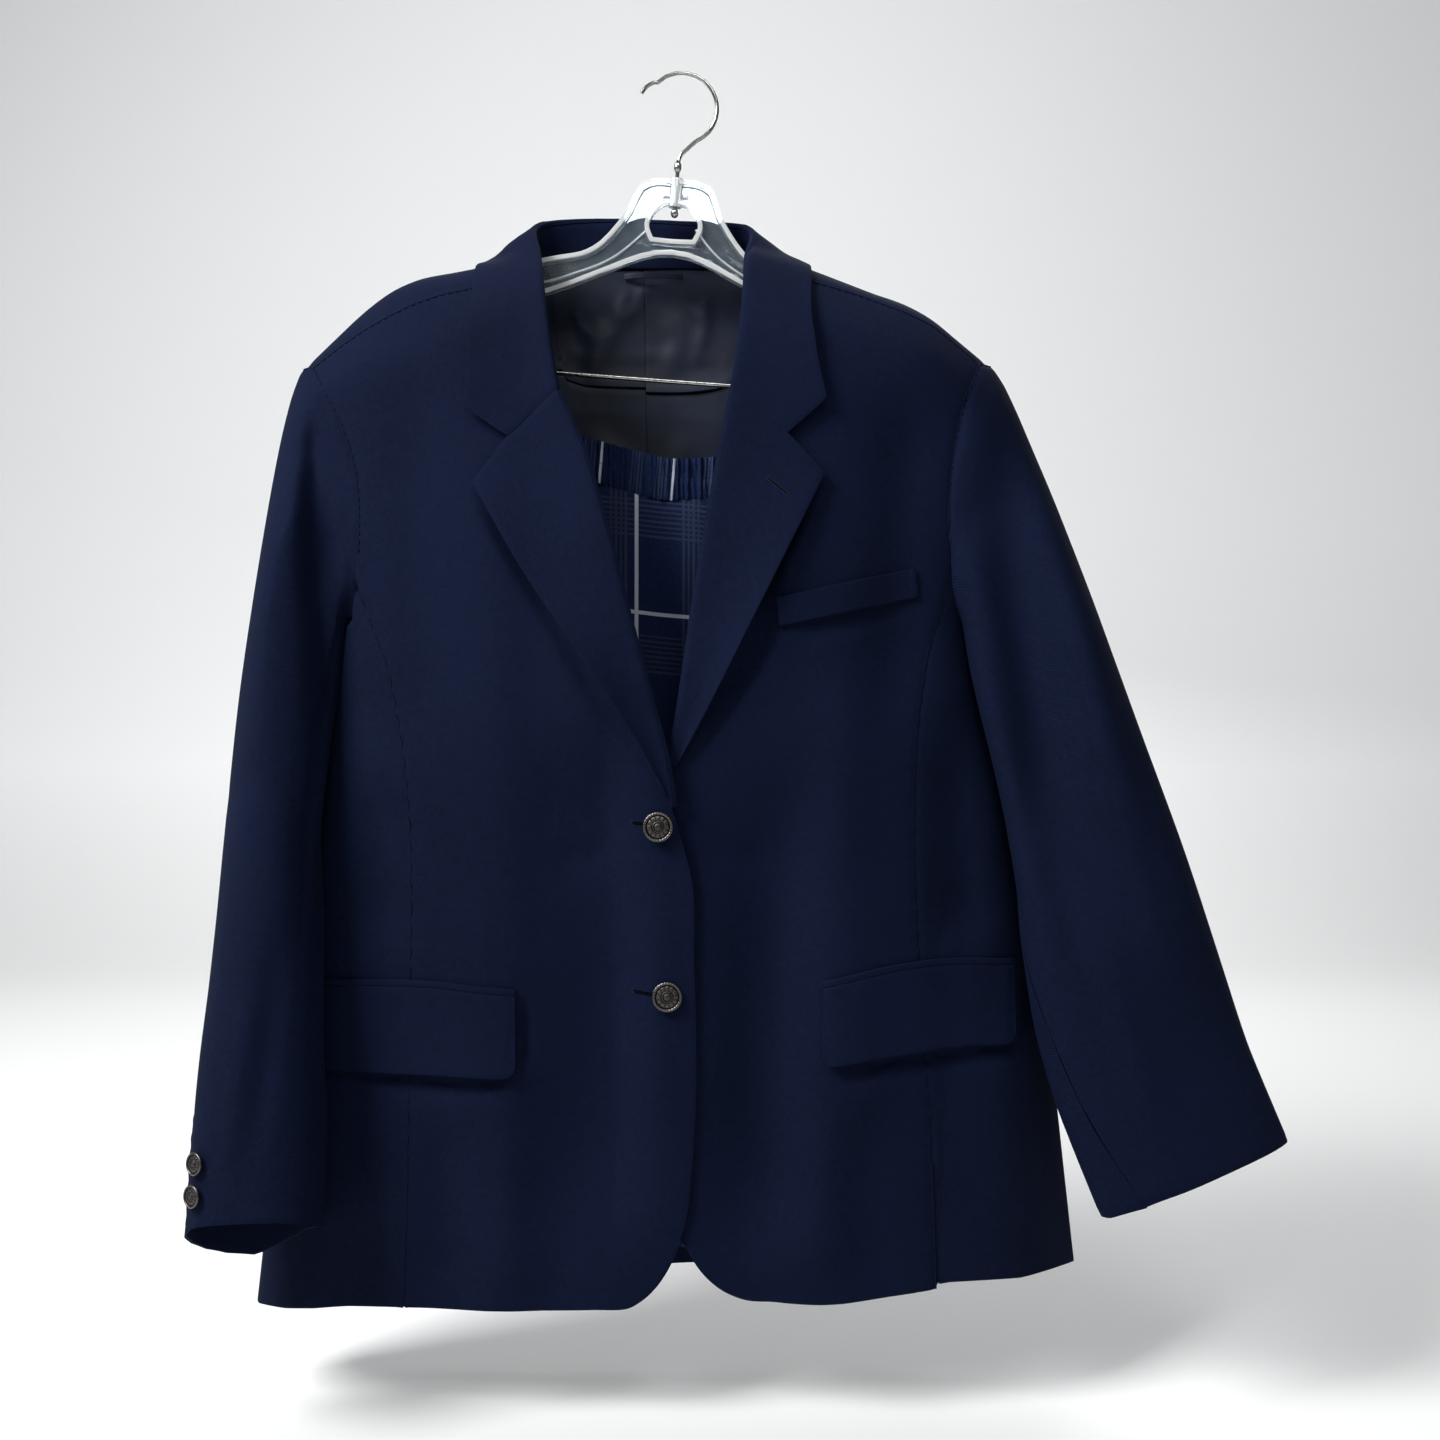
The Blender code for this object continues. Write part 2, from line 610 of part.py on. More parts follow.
def lapel_wall(side):
    lapel = LAPELS[side]
    line, inward = neckline(side)
    turned, turned_normals, inner = roll_points(line[FRONT_ROWS:], inward[FRONT_ROWS:], side)
    top = gorge(side, inner[0], lapel.point)
    outer = sample(lapel.outer_edge, LAPEL_ROWS)
    flat = fill(top, np.linspace(inner[-1], outer[-1], len(top)), inner, outer)
    out = np.linspace(0, 1, len(top))[None, :]
    down = np.linspace(0, 1, LAPEL_ROWS + 1)[:, None]
    open_share = np.sin(math.pi * np.clip(0.08 + down / lapel.lift_ends * 0.92, 0, 1))
    lift = LAPEL_LIFT + lapel.lift * out ** 2 * open_share
    lift = lift - lapel.pressed * ease((down - 0.75) / 0.2)
    y = front_y(flat[..., 0], flat[..., 1], side) - lift
    flat = np.stack((flat[..., 0], y, flat[..., 1]), axis=-1)
    grid = np.concatenate((np.stack(turned, axis=1), flat), axis=1)
    normals = grid_normals(grid, (0, -1, 0))
    normals[:, :len(ROLL_STEPS)] = np.stack(turned_normals, axis=1)
    return grid, normals


def neck_seam(side):
    """The inner face of the neck seam, from the gorge to the centre of the back."""
    points, normals = front_wall(side)
    front = (points - normals * CLOTH + unit(points - points[:, 1:2]) * NECK_SEAM_GAP)[:, 0]
    front = front[front[:, 2] > HALVES[side].neck_edge[-1][1] - 2][::-1]
    points, normals = back_wall(side)
    back = points - normals * CLOTH + unit(points - points[1:2]) * NECK_SEAM_GAP
    back = back[0, NECK_COLUMNS - 1::-1]
    back = back + unit((NECK_MIDDLE - back) * FLAT) * STAND_INSIDE
    return np.concatenate((front, back))


def collar_half(side):
    """Sections of the fall and the stand, from the gorge to the centre of the back."""
    line, inward = neckline(side)
    fold_line, fold_inward = line[FRONT_ROWS::-1], inward[FRONT_ROWS::-1]
    seam = neck_seam(side)
    falls, fall_normals, stands = [], [], []
    for i, row in enumerate(NECK[side]):
        foot = sample(seam, [row.foot])[0]
        if row.fold_y is None:
            turned, normals, inner = roll_points(fold_line[i:i + 1], fold_inward[i:i + 1], side)
            turned = [point[0] for point in turned]
            normals = [normal[0] for normal in normals]
            edge = np.array((row.edge_x, row.edge_z))
            across = np.linspace(inner[0], edge, FALL_POINTS)
            if i == 0:
                across = gorge(side, inner[0], edge)
            out = np.linspace(0, 1, FALL_POINTS)
            y = front_y(*across.T, side) - LAPEL_LIFT - COLLAR_EDGE_LIFT * out ** 2
            flat = np.stack((across[:, 0], y, across[:, 1]), axis=-1)
        else:
            fold = np.array((row.fold_x, row.fold_y, row.fold_z), float)
            edge = np.array((row.edge_x, row.edge_y, row.edge_z), float)
            up = unit(fold - (edge + foot) / 2)
            inside = unit((foot - edge) - np.dot(foot - edge, up) * up)
            middle = fold - up * ROLL_RADIUS
            normals = [up * math.sin(math.radians(a)) + inside * math.cos(math.radians(a))
                       for a in ROLL_STEPS]
            turned = [middle + normal * ROLL_RADIUS for normal in normals]
            start = middle - inside * ROLL_RADIUS
            out = np.linspace(0, 1, FALL_POINTS)[:, None]
            flat = start + (edge - start) * out - inside * COLLAR_BULGE * 4 * out * (1 - out)
        falls.append(np.concatenate((turned, flat)))
        fall_normals.append(normals)
        stands.append(np.linspace(turned[0], foot, 3))
    return np.array(falls), np.array(fall_normals), np.array(stands)


def collar_walls():
    halves = [collar_half(side) for side in (LEFT, RIGHT)]
    falls, normals, stands = [np.concatenate((left, right[-2::-1])) for left, right in zip(*halves)]
    count = len(falls)
    places = np.linspace(0, count - 1, 2 * count - 1)
    rows = np.arange(count)
    fall, rolled, stand = [through(rows, values, places) for values in (falls, normals, stands)]
    fall[:, len(ROLL_STEPS):] = keep_off(fall[:, len(ROLL_STEPS):], COLLAR_CLEAR)
    fall_normals = grid_normals(fall, fall - np.array((-25, 10, -170)))
    fall_normals[:, :len(ROLL_STEPS)] = unit(rolled)
    stand_normals = grid_normals(stand, (NECK_MIDDLE - stand) * FLAT)
    stand_normals[:, 0] = fall_normals[:, 0]
    return (fall, fall_normals), (stand[1:-1], stand_normals[1:-1])


# ---------------------------------------------------------------- sleeves

SLEEVE_POWER = 2.25
CAP_ROWS = np.array((0, 0.1, 0.25, 0.45, 0.7))
RING_STEPS = 7
CAP_FULLNESS = 0.9
ARMHOLE_GAP = 0.85                # between the sleeve's seam and the body
SLEEVE_OFF = ((0, 0.2, 1, 2, 4), (ARMHOLE_GAP, 1.6, 4.4, 5.6, 7.0))    # sleeve to body, by row

# a sleeve's rings: middle, half width and half depth, turn of the ring in degrees, and how much
# lower its back is than its front
Cuff = namedtuple("Cuff", "x y z half_width half_depth turn drop")
SLEEVE_RINGS = {
    LEFT: (
        Cuff(-260, -13, -404, 31, 57, 10, 0.02),
        Cuff(-265, -26, -467, 31, 55, 13, 0.04),
        Cuff(-266, -40, -530, 33, 52, 14, 0.08),
        Cuff(-265.5, -54, -600, 36, 47, 11, 0.14),
        Cuff(-265, -68, -668, 39.5, 41, 6, 0.22),
        Cuff(-265.5, -78, -722, 41.5, 37, 3, 0.34),
        Cuff(-266, -86, -772, 42.5, 34, 0, 0.46),
    ),
    RIGHT: (
        Cuff(240, -16, -396, 46, 50, 8, 0.0),
        Cuff(259, -29, -483, 54.5, 43, 5, 0.0),
        Cuff(276.5, -39, -548, 60, 37, 2, 0.02),
        Cuff(290.5, -47, -604, 63.5, 31, 0, 0.03),
        Cuff(304.5, -53, -659, 65.5, 27, 0, 0.03),
        Cuff(320, -57, -702, 66, 24, 0, 0.03),
        Cuff(335, -60, -739, 66, 22, 0, 0.03),
    ),
}

# the seams of the two-piece sleeves, in degrees from the outer edge towards the front
SleeveSeam = namedtuple("SleeveSeam", "row front back")
SLEEVE_SEAMS = {
    LEFT: (SleeveSeam(1, 172, -58), SleeveSeam(3, 170, -30), SleeveSeam(5, 166, 5),
           SleeveSeam(7, 160, 27)),
    RIGHT: (SleeveSeam(1, 186, -60), SleeveSeam(3, 176, -58), SleeveSeam(5, 146, -56),
            SleeveSeam(7, 124, -54)),
}

# long soft hollows in the sleeves: the row, the angle, the half width in degrees and the depth
Hollow = namedtuple("Hollow", "row angle half_width depth")
SLEEVE_HOLLOWS = {
    LEFT: (Hollow(0, 60, 26, 0), Hollow(0.4, 82, 26, 5), Hollow(1, 104, 26, 9),
           Hollow(2, 126, 24, 8), Hollow(3, 138, 24, 0), Hollow(7, 138, 24, 0)),
    RIGHT: (Hollow(0, 60, 26, 0), Hollow(0.4, 84, 24, 7), Hollow(1, 100, 22, 11),
            Hollow(2, 104, 22, 12), Hollow(3, 104, 22, 9), Hollow(4, 106, 22, 3),
            Hollow(5, 108, 22, 0), Hollow(7, 108, 22, 0)),
}


def armhole_loop(side):
    """The armhole's points on the outside of the body, from the top round the front, and normals."""
    back, back_normals = back_wall(side)
    front, front_normals = front_wall(side)
    under, under_normals = side_front_wall(side)
    turn = len(RIDGE_TURN) - 1
    arm = len(BACK_ARM_SHARES) - 1

    def ring(of_back, of_front, of_under):
        return np.concatenate((of_back[turn:0:-1, -1], of_front[:ARMHOLE_ROWS, -1],
                               of_under[0, :-1], of_back[turn + arm:turn:-1, -1]))

    return ring(back, front, under), ring(back_normals, front_normals, under_normals)


def armhole_angles(loop):
    """Degrees for each point of the armhole: 0 at the top, 180 at the underarm."""
    around = lengths(np.concatenate((loop, loop[:1])))
    under = len(RIDGE_TURN) - 1 + ARMHOLE_ROWS + SIDE_COLUMNS
    front = 180 * around[:under + 1] / around[under]
    back = 180 + 180 * (around[under + 1:-1] - around[under]) / (around[-1] - around[under])
    return np.concatenate((front, back))


def ring_point(side, row, angle):
    """A point of the sleeve below the cap; row 1 is the first ring of the table."""
    table = SLEEVE_RINGS[side]
    rows = np.arange(len(table)) + 1.0
    read = {name: through(rows, [getattr(ring, name) for ring in table], row)
            for name in Cuff._fields}
    middle = np.stack((read["x"], read["y"], read["z"]), axis=-1)
    path = np.array([(ring.x, ring.y, ring.z) for ring in table], float)
    along = unit(through(rows, np.gradient(path, axis=0), row))
    out = np.zeros_like(along)
    out[..., 0] = side
    out = unit(out - along * np.sum(out * along, axis=-1, keepdims=True))
    front = np.cross(along, out) * side
    front = front * -np.sign(front[..., 1:2])
    swing, turn = np.radians(angle), np.radians(read["turn"])
    wide = np.sign(np.cos(swing)) * np.abs(np.cos(swing)) ** (2 / SLEEVE_POWER)
    deep = np.sign(np.sin(swing)) * np.abs(np.sin(swing)) ** (2 / SLEEVE_POWER)
    wide, deep = wide * read["half_width"], deep * read["half_depth"]
    hollow = read_hollow(side, row, angle)
    wide = wide * (1 - hollow / read["half_width"] * np.abs(np.cos(swing)))
    deep = deep - hollow * np.sign(deep)
    across = wide * np.cos(turn) - deep * np.sin(turn)
    ahead = wide * np.sin(turn) + deep * np.cos(turn)
    point = middle + out * across[..., None] + front * ahead[..., None]
    point[..., 2] -= (point[..., 1] - middle[..., 1]) * read["drop"]
    return point


def read_hollow(side, row, angle):
    table = SLEEVE_HOLLOWS[side]
    place = column(table, "angle", row)
    width = column(table, "half_width", row)
    deep = column(table, "depth", row)
    off = (np.asarray(angle) - place + 180) % 360 - 180
    return np.maximum(deep, 0) * bump(off / width)


def sleeve_point(side, row, angle, loop, angles):
    """A point of the sleeve: row 0 is the armhole and row 1 the first ring."""
    row, angle = np.broadcast_arrays(np.asarray(row, float), np.asarray(angle, float))
    wrapped = np.mod(angle, 360)
    closed = np.concatenate((loop, loop[:1]))
    around = np.concatenate((angles, (360.0,)))
    start = np.stack([np.interp(wrapped, around, closed[:, i]) for i in range(3)], axis=-1)
    ring = ring_point(side, np.maximum(row, 1), angle)
    below = ring_point(side, np.full(row.shape, 1.2), angle)
    first = ring_point(side, np.full(row.shape, 1.0), angle)
    up = unit(first - below)
    reach = np.maximum(np.sum((start - first) * up, axis=-1, keepdims=True), 0)
    bend = first + up * reach * CAP_FULLNESS
    t = np.clip(row, 0, 1)[..., None]
    cap = (1 - t) ** 2 * start + 2 * t * (1 - t) * bend + t ** 2 * first
    return np.where(row[..., None] < 1, cap, ring)


def sleeve_walls(side):
    """The top sleeve and the under sleeve."""
    loop, normals = armhole_loop(side)
    angles = armhole_angles(loop)
    loop = loop + normals * ARMHOLE_GAP
    rows = np.concatenate((CAP_ROWS, np.linspace(1, len(SLEEVE_RINGS[side]), RING_STEPS + 1)))
    seams = SLEEVE_SEAMS[side]
    front = column(seams, "front", np.maximum(rows, 1))
    back = column(seams, "back", np.maximum(rows, 1))
    at_front = int(np.argmin(np.abs(angles - front[0])))
    at_back = int(np.argmin(np.abs(angles - (back[0] + 360))))
    top_angles = np.concatenate((angles[at_back:] - 360, angles[:at_front + 1]))
    under_count = at_back - at_front
    under_angles = np.interp(np.arange(2 * under_count + 1) / 2, np.arange(under_count + 1),
                             angles[at_front:at_back + 1])
    walls = []
    for piece, start, end in ((top_angles, back, front), (under_angles, front, back + 360)):
        share = (piece - piece[0]) / (piece[-1] - piece[0])
        first = start + (piece[0] - start[0]) * np.clip(1 - rows, 0, 1)
        last = end + (piece[-1] - end[0]) * np.clip(1 - rows, 0, 1)
        angle = first[:, None] + (last - first)[:, None] * share[None, :]
        row = np.repeat(rows[:, None], len(piece), axis=1)

        def point(rows_at, angles_at):
            return sleeve_point(side, rows_at, angles_at, loop, angles)

        last_row = len(SLEEVE_RINGS[side])
        down = point(np.minimum(row + 0.04, last_row), angle) - point(np.maximum(row - 0.04, 0), angle)
        turn = point(row, angle + 2.5) - point(row, angle - 2.5)
        clearance = np.interp(row, *SLEEVE_OFF)
        off_body = keep_off(point(row, angle), clearance)
        walls.append((off_body, unit(np.cross(down, turn)) * -side))
    return walls


# ---------------------------------------------------------------- pockets and buttons

# each lies on the front: places along its top edge, and the heights of its top and bottom there
Edge = namedtuple("Edge", "x top bottom")
FLAPS = {
    LEFT: (Edge(-234, -618.4, -672.6), Edge(-171, -616.4, -672.4), Edge(-104, -621.6, -674)),
    RIGHT: (Edge(95, -616.4, -667), Edge(130, -608.4, -661.6), Edge(157, -604.4, -658.4),
            Edge(188, -603, -655.4), Edge(223, -605.4, -656)),
}
WELT = (Edge(64.6, -364.5, -382.5), Edge(155.9, -343.9, -362.5))
WELT_SLANT = 0.1
FLAP_CORNER = 7.0
FLAP_OFF = 1.0                    # from the front to the back of the flap, at the top
FLAP_STANDS = 2.0                 # and how much more at the bottom
JET_HEIGHT = 4.4
TRIM_CLOTH = 1.6


def strip_columns(x_from, x_to, corner, count):
    """Places across a strip, closer together round its corners."""
    steps = np.array((0, 0.12, 0.45)) * corner
    return np.concatenate((x_from + steps, np.linspace(x_from + corner, x_to - corner, count),
                           x_to - steps[::-1]))


def lying_on_front(x, z, side, off):
    return np.stack((x, front_y(x, z, side) - off, z), axis=-1)


def flap_wall(side):
    table = FLAPS[side]
    x = strip_columns(table[0].x, table[-1].x, FLAP_CORNER, 7)
    near_end = np.clip(np.minimum(x - x[0], x[-1] - x), 0, FLAP_CORNER)
    curve = FLAP_CORNER - np.sqrt(FLAP_CORNER ** 2 - (FLAP_CORNER - near_end) ** 2)
    top = column(table, "top", x)
    bottom = column(table, "bottom", x) + curve
    down = np.linspace(0, 1, 5)[:, None]
    z = top + (bottom - top) * down
    off = FLAP_OFF + TRIM_CLOTH + FLAP_STANDS * down ** 2
    points = lying_on_front(np.repeat(x[None], 5, axis=0), z, side, off)
    return points, grid_normals(points, (0, -1, 0))


def jet_wall(side):
    table = FLAPS[side]
    x = np.linspace(table[0].x, table[-1].x, 9)
    low = column(table, "top", x) + 0.4
    z = np.stack((low + JET_HEIGHT, low))
    points = lying_on_front(np.repeat(x[None], 2, axis=0), z, side, FLAP_OFF + TRIM_CLOTH)
    return points, grid_normals(points, (0, -1, 0))


def welt_wall():
    x = np.linspace(WELT[0].x, WELT[-1].x, 8)
    rows = np.linspace(0, 1, 4)[:, None]
    z = column(WELT, "top", x) + (column(WELT, "bottom", x) - column(WELT, "top", x)) * rows
    x = x[None] - WELT_SLANT * (z - z[:1])
    points = lying_on_front(x, z, RIGHT, FLAP_OFF + TRIM_CLOTH)
    return points, grid_normals(points, (0, -1, 0))


# a button's outline from the middle of its back to the middle of its front: radius and height
# above the cloth, for a button 20 mm across
BUTTON_OUTLINE = ((2.6, 0.3), (2.4, 1.9), (9.2, 2.4), (10, 3.2), (9.5, 4.1), (8.3, 4.3),
                  (7.4, 3.8), (4.2, 4.6))
BUTTON_TOP = 4.9

Button = namedtuple("Button", "name x z")
FRONT_BUTTONS = (Button("button_front_top", -11.4, -511.3), Button("button_front_low", -5.8, -620.8))
SleeveButton = namedtuple("SleeveButton", "name side angle z")
SLEEVE_BUTTONS = (
    SleeveButton("button_cuff_left_top", LEFT, 48, -717),
    SleeveButton("button_cuff_left_low", LEFT, 48, -736),
    SleeveButton("button_cuff_right_top", RIGHT, -36, -690),
    SleeveButton("button_cuff_right_low", RIGHT, -36, -709),
)
FRONT_BUTTON, SLEEVE_BUTTON = 20.0, 15.0


def button(name, seat, out, across, material, sides):
    """A domed metal button on its shank, turned about `out` from the point `seat`."""
    out = unit(np.asarray(out, float))
    first = unit(np.cross(out, (0.0, 0.0, 1.0)))
    second = np.cross(out, first)
    scale = across / 20.0
    swing = np.linspace(0, 2 * math.pi, sides, endpoint=False)[:, None]
    around = np.cos(swing) * first + np.sin(swing) * second
    rings = [seat + out * height * max(scale, 0.9) + around * radius * scale
             for radius, height in BUTTON_OUTLINE]
    points = np.concatenate(rings + [np.array([seat + out * BUTTON_TOP * max(scale, 0.9)])])
    faces = [list(range(sides))]
    for ring in range(len(rings) - 1):
        for i in range(sides):
            j = (i + 1) % sides
            low, high = ring * sides, (ring + 1) * sides
            faces.append([low + i, low + j, high + j, high + i])
    last = (len(rings) - 1) * sides
    faces += [[last + i, last + (i + 1) % sides, len(points) - 1] for i in range(sides)]
    return mesh_object(name, points, faces, material)


def make_buttons(mats):
    for row in FRONT_BUTTONS:
        seat = lying_on_front(np.array([row.x]), np.array([row.z]), LEFT, 0.3)[0]
        button(row.name, seat, (0.03, -1, 0.05), FRONT_BUTTON, mats["button"], 14)
    for row in SLEEVE_BUTTONS:
        rows = np.linspace(5, len(SLEEVE_RINGS[row.side]), 81)
        path = ring_point(row.side, rows, np.full(81, float(row.angle)))
        at = rows[int(np.argmin(np.abs(path[:, 2] - row.z)))]
        near = [ring_point(row.side, np.array([at + dr]), np.array([float(row.angle + da)]))[0]
                for dr, da in ((0, 0), (0.05, 0), (0, 3))]
        out = unit(np.cross(near[1] - near[0], near[2] - near[0])) * -row.side
        button(row.name, near[0] + out * 0.5, out, SLEEVE_BUTTON, mats["button"], 10)


# ---------------------------------------------------------------- lining of the back

LINING_ROWS = {"upper": (0, 4), "lower": (4, 9)}      # rows of the back below the shoulder
LINING_OFF = 1.65                 # between the lining and the back
LINING_ENDS = 0.35                # how far the lining stops short of the armhole, in columns
LOOP_OFF = LINING_OFF + LINING + 0.5
LOOP_ENDS, LOOP_TOP, LOOP_HEIGHT, LOOP_STANDS = (-39.0, 2.0), -128.6, 4.0, 4.0


def lining_piece(side, first, last):
    """A piece of lining behind the back between two of its rows, from the centre to the armhole."""
    points, normals = back_wall(side)
    ridge = len(RIDGE_TURN) - 1
    top = points[ridge + first:ridge + last + 1].copy()
    facing = normals[ridge + first:ridge + last + 1]
    if first == 0:
        top[0, NECK_COLUMNS:] = (top[0] + top[1])[NECK_COLUMNS:] / 2
    inside = top - facing * (CLOTH + LINING_OFF)
    inside[:, -1] += (inside[:, -2] - inside[:, -1]) * LINING_ENDS
    return inside, facing


def make_lining(mats):
    for side, name in ((LEFT, "left"), (RIGHT, "right")):
        for piece, rows in LINING_ROWS.items():
            grid = lining_piece(side, *rows)
            wall("lining_%s_%s" % (piece, name), *grid, LINING, mats["lining"], (2, 2, 1, 1), 0.3)
    x = np.linspace(*LOOP_ENDS, 9)
    stand = LOOP_STANDS * np.sin(np.linspace(0, math.pi, 9)) ** 0.7
    z = np.array((LOOP_TOP, LOOP_TOP - LOOP_HEIGHT))[:, None] + np.zeros((1, 9))
    x = np.repeat(x[None], 2, axis=0)
    inside = surface_y(x, z, 1) - CLOTH - LOOP_OFF
    loop = np.stack((x, inside - stand, z), axis=-1)
    wall("hanger_loop", loop, np.broadcast_to((0.0, 1.0, 0.0), loop.shape), LINING, mats["lining"],
         (0, 0, 0, 0))


# ---------------------------------------------------------------- skirt

# the top of the waistband hangs from the clips and dips between them
Waist = namedtuple("Waist", "x top height half_depth")
WAISTBAND = (
    Waist(-181, -233, 28.5, 5.0),
    Waist(-160, -236, 28.5, 4.6),
    Waist(-146, -238, 28.5, 4.4),
    Waist(-132, -239.5, 28.5, 4.6),
    Waist(-62, -251, 29, 9.0),
    Waist(-24, -261, 29.5, 10.5),
    Waist(-10, -264.5, 29, 11.0),
    Waist(23, -264, 28, 10.5),
    Waist(60, -259, 28, 8.5),
    Waist(109, -251, 28, 4.6),
    Waist(123, -250, 28, 4.4),
    Waist(137, -248.5, 28, 4.6),
    Waist(152, -247, 28, 5.0),
)
WAIST_MIDDLE, WAIST_HALF = -14.5, 166.5
GATHERS, GATHER_HEIGHT = 44, 1.1
SKIRT_WAVES, SKIRT_COLUMNS, SKIRT_ROWS = 8, 32, 6

# the skirt below the band: share of the way down, middle, half width, half depth and fold height
Skirt = namedtuple("Skirt", "down middle half_width half_depth wave")
SKIRT = (
    Skirt(0.0, -14.5, 166.5, 9, 1.2),
    Skirt(0.12, -14.4, 180, 12, 3.0),
    Skirt(0.35, -14, 198, 14, 4.2),
    Skirt(0.7, -13, 219, 15, 5.0),
    Skirt(1.0, -12, 235, 16, 5.5),
)
SKIRT_HEM_Z = -800.0


def waistband_wall(face):
    places = np.linspace(-1, 1, 2 * GATHERS + 1)
    share = np.interp(places, PLACE, SHARE)
    x = WAIST_MIDDLE + WAIST_HALF * np.interp(places, PLACE, ACROSS)
    depth_here = column(WAISTBAND, "half_depth", x)
    gather = GATHER_HEIGHT * np.where(np.arange(len(x)) % 2, 1, -1) * np.clip(2 * share - 0.8, 0, 1)
    gather = gather * np.clip((depth_here - 3.4) / 2.0, 0.3, 1)
    y = face * (depth_here * share + gather)
    top = column(WAISTBAND, "top", x)
    z = np.stack((top, top - column(WAISTBAND, "height", x)))
    points = np.stack((np.repeat(x[None], 2, axis=0), np.repeat(y[None], 2, axis=0), z), axis=-1)
    smooth_y = face * depth_here * share
    smooth = np.stack((x, smooth_y, np.zeros(len(x))), axis=-1)
    along = np.gradient(smooth, axis=0)
    normals = unit(np.stack((-along[:, 1], along[:, 0], along[:, 2]), axis=-1)) * face
    return points, flat_ends(np.repeat(normals[None], 2, axis=0))


def flat_ends(normals):
    """The normals with those at the side seams turned straight to the side."""
    normals = normals.copy()
    normals[:, 0] = (-1, 0, 0)
    normals[:, -1] = (1, 0, 0)
    return normals


def skirt_point(place, down, face):
    share = np.interp(place, PLACE, SHARE)
    middle, half = column(SKIRT, "middle", down), column(SKIRT, "half_width", down)
    waist_x = WAIST_MIDDLE + WAIST_HALF * np.interp(place, PLACE, ACROSS)
    x = middle + half * np.interp(place, PLACE, ACROSS)
    at_waist = column(WAISTBAND, "half_depth", waist_x)
    half_depth = at_waist + (column(SKIRT, "half_depth", down) - at_waist) * ease(down * 2.5)
    wave = column(SKIRT, "wave", down) * np.sin(math.pi * SKIRT_WAVES * (place + 0.07 * face))
    y = face * (half_depth * share + wave * np.minimum(share * 1.5, 1) ** 2)
    start = column(WAISTBAND, "top", waist_x) - column(WAISTBAND, "height", waist_x)
    z = start + (SKIRT_HEM_Z - start) * down
    return np.stack((x, y, z), axis=-1)


def skirt_wall(face):
    places = np.linspace(-1, 1, SKIRT_COLUMNS + 1)
    downs = np.linspace(0, 1, SKIRT_ROWS + 1) ** 1.3
    place, down = np.meshgrid(places, downs)
    across = skirt_point(np.clip(place + 0.004, -1, 1), down, face)
    across = across - skirt_point(np.clip(place - 0.004, -1, 1), down, face)
    fall = skirt_point(place, np.clip(down + 0.01, 0, 1), face)
    fall = fall - skirt_point(place, np.clip(down - 0.01, 0, 1), face)
    return skirt_point(place, down, face), flat_ends(unit(np.cross(across, fall)) * face)


# ---------------------------------------------------------------- hanger

HANGER_TILT = math.radians(4.2)
HANGER_SHIFT = 4.0
RIM_WIDTH, RIM_HALF, WEB_HALF = 3.0, 4.0, 1.2

# half of the hanger's outline and of the window in its middle, before it is tilted
HANGER_HALF = ((0, -73), (14, -73), (25, -78), (31.5, -94), (39, -106), (49, -118.5), (58, -125), (66, -128),
               (87, -133), (120, -146), (150, -156.5), (176, -165), (186, -170), (189, -176),
               (186, -182), (176, -183.5), (150, -174.5), (120, -165.5), (82, -156.3),
               (50, -141.9), (40, -137.2), (20, -128), (0, -124.2))
WINDOW_HALF = ((0, -89.5), (8, -90), (14, -96), (16.5, -102), (16.5, -107), (13.5, -113.5),
               (0, -114))
BOSS_RADIUS, BOSS_TOP, BOSS_BOTTOM, BORE_RADIUS = 4.4, -71.6, -91.0, 1.8
WIRE_RADIUS = 1.5
BAR_LEVEL, BAR_HALF, BAR_TOP, BAR_CORNER = -210.0, 158.0, -178.5, 6.0
BAR_SIDES, HOOK_SIDES = 8, 10

# the hook's wire: where it runs and its radius, from the tip to the ball under the plastic
HOOK_TIP = ((-28.8, -14.3), (-25.4, -9.6), (-20.6, -6.4))
HOOK_CENTRE, HOOK_RADIUS = (-0.5, -23.0), 24.5
HOOK_FROM, HOOK_TO, HOOK_STEPS = 137.0, -62.0, 13
HOOK_END = ((5.4, -50.4, 1.5), (1.6, -54.5, 1.5), (0.2, -59, 1.5), (0, -61.5, 2.6), (0, -65, 2.6),
            (0, -67, 1.5), (0, -92, 1.5), (0, -93, 2.3), (0, -95, 2.8), (0, -97, 2.2),
            (0, -98, 1.0))

CLIP_AT = (-135.0, 135.0)
CLIP_HALF_WIDTH = 15.0
CLIP_INNER, CLIP_OUTER = 6.4, 8.8
CLIP_TOP, CLIP_UNDER, CLIP_BOTTOM = -204.0, -208.2, -268.0


def hung(points):
    """Points of the hanger (x, y, z), tilted as it hangs."""
    points = np.asarray(points, float)
    x = points[..., 0] + HANGER_SHIFT
    turned_x = math.cos(HANGER_TILT) * x + math.sin(HANGER_TILT) * points[..., 2]
    turned_z = -math.sin(HANGER_TILT) * x + math.cos(HANGER_TILT) * points[..., 2]
    return np.stack((turned_x, points[..., 1], turned_z), axis=-1)


def whole(half):
    """A closed outline from its right half."""
    half = [np.array(point, float) for point in half]
    return np.array(half + [point * (-1, 1) for point in half[-2:0:-1]])


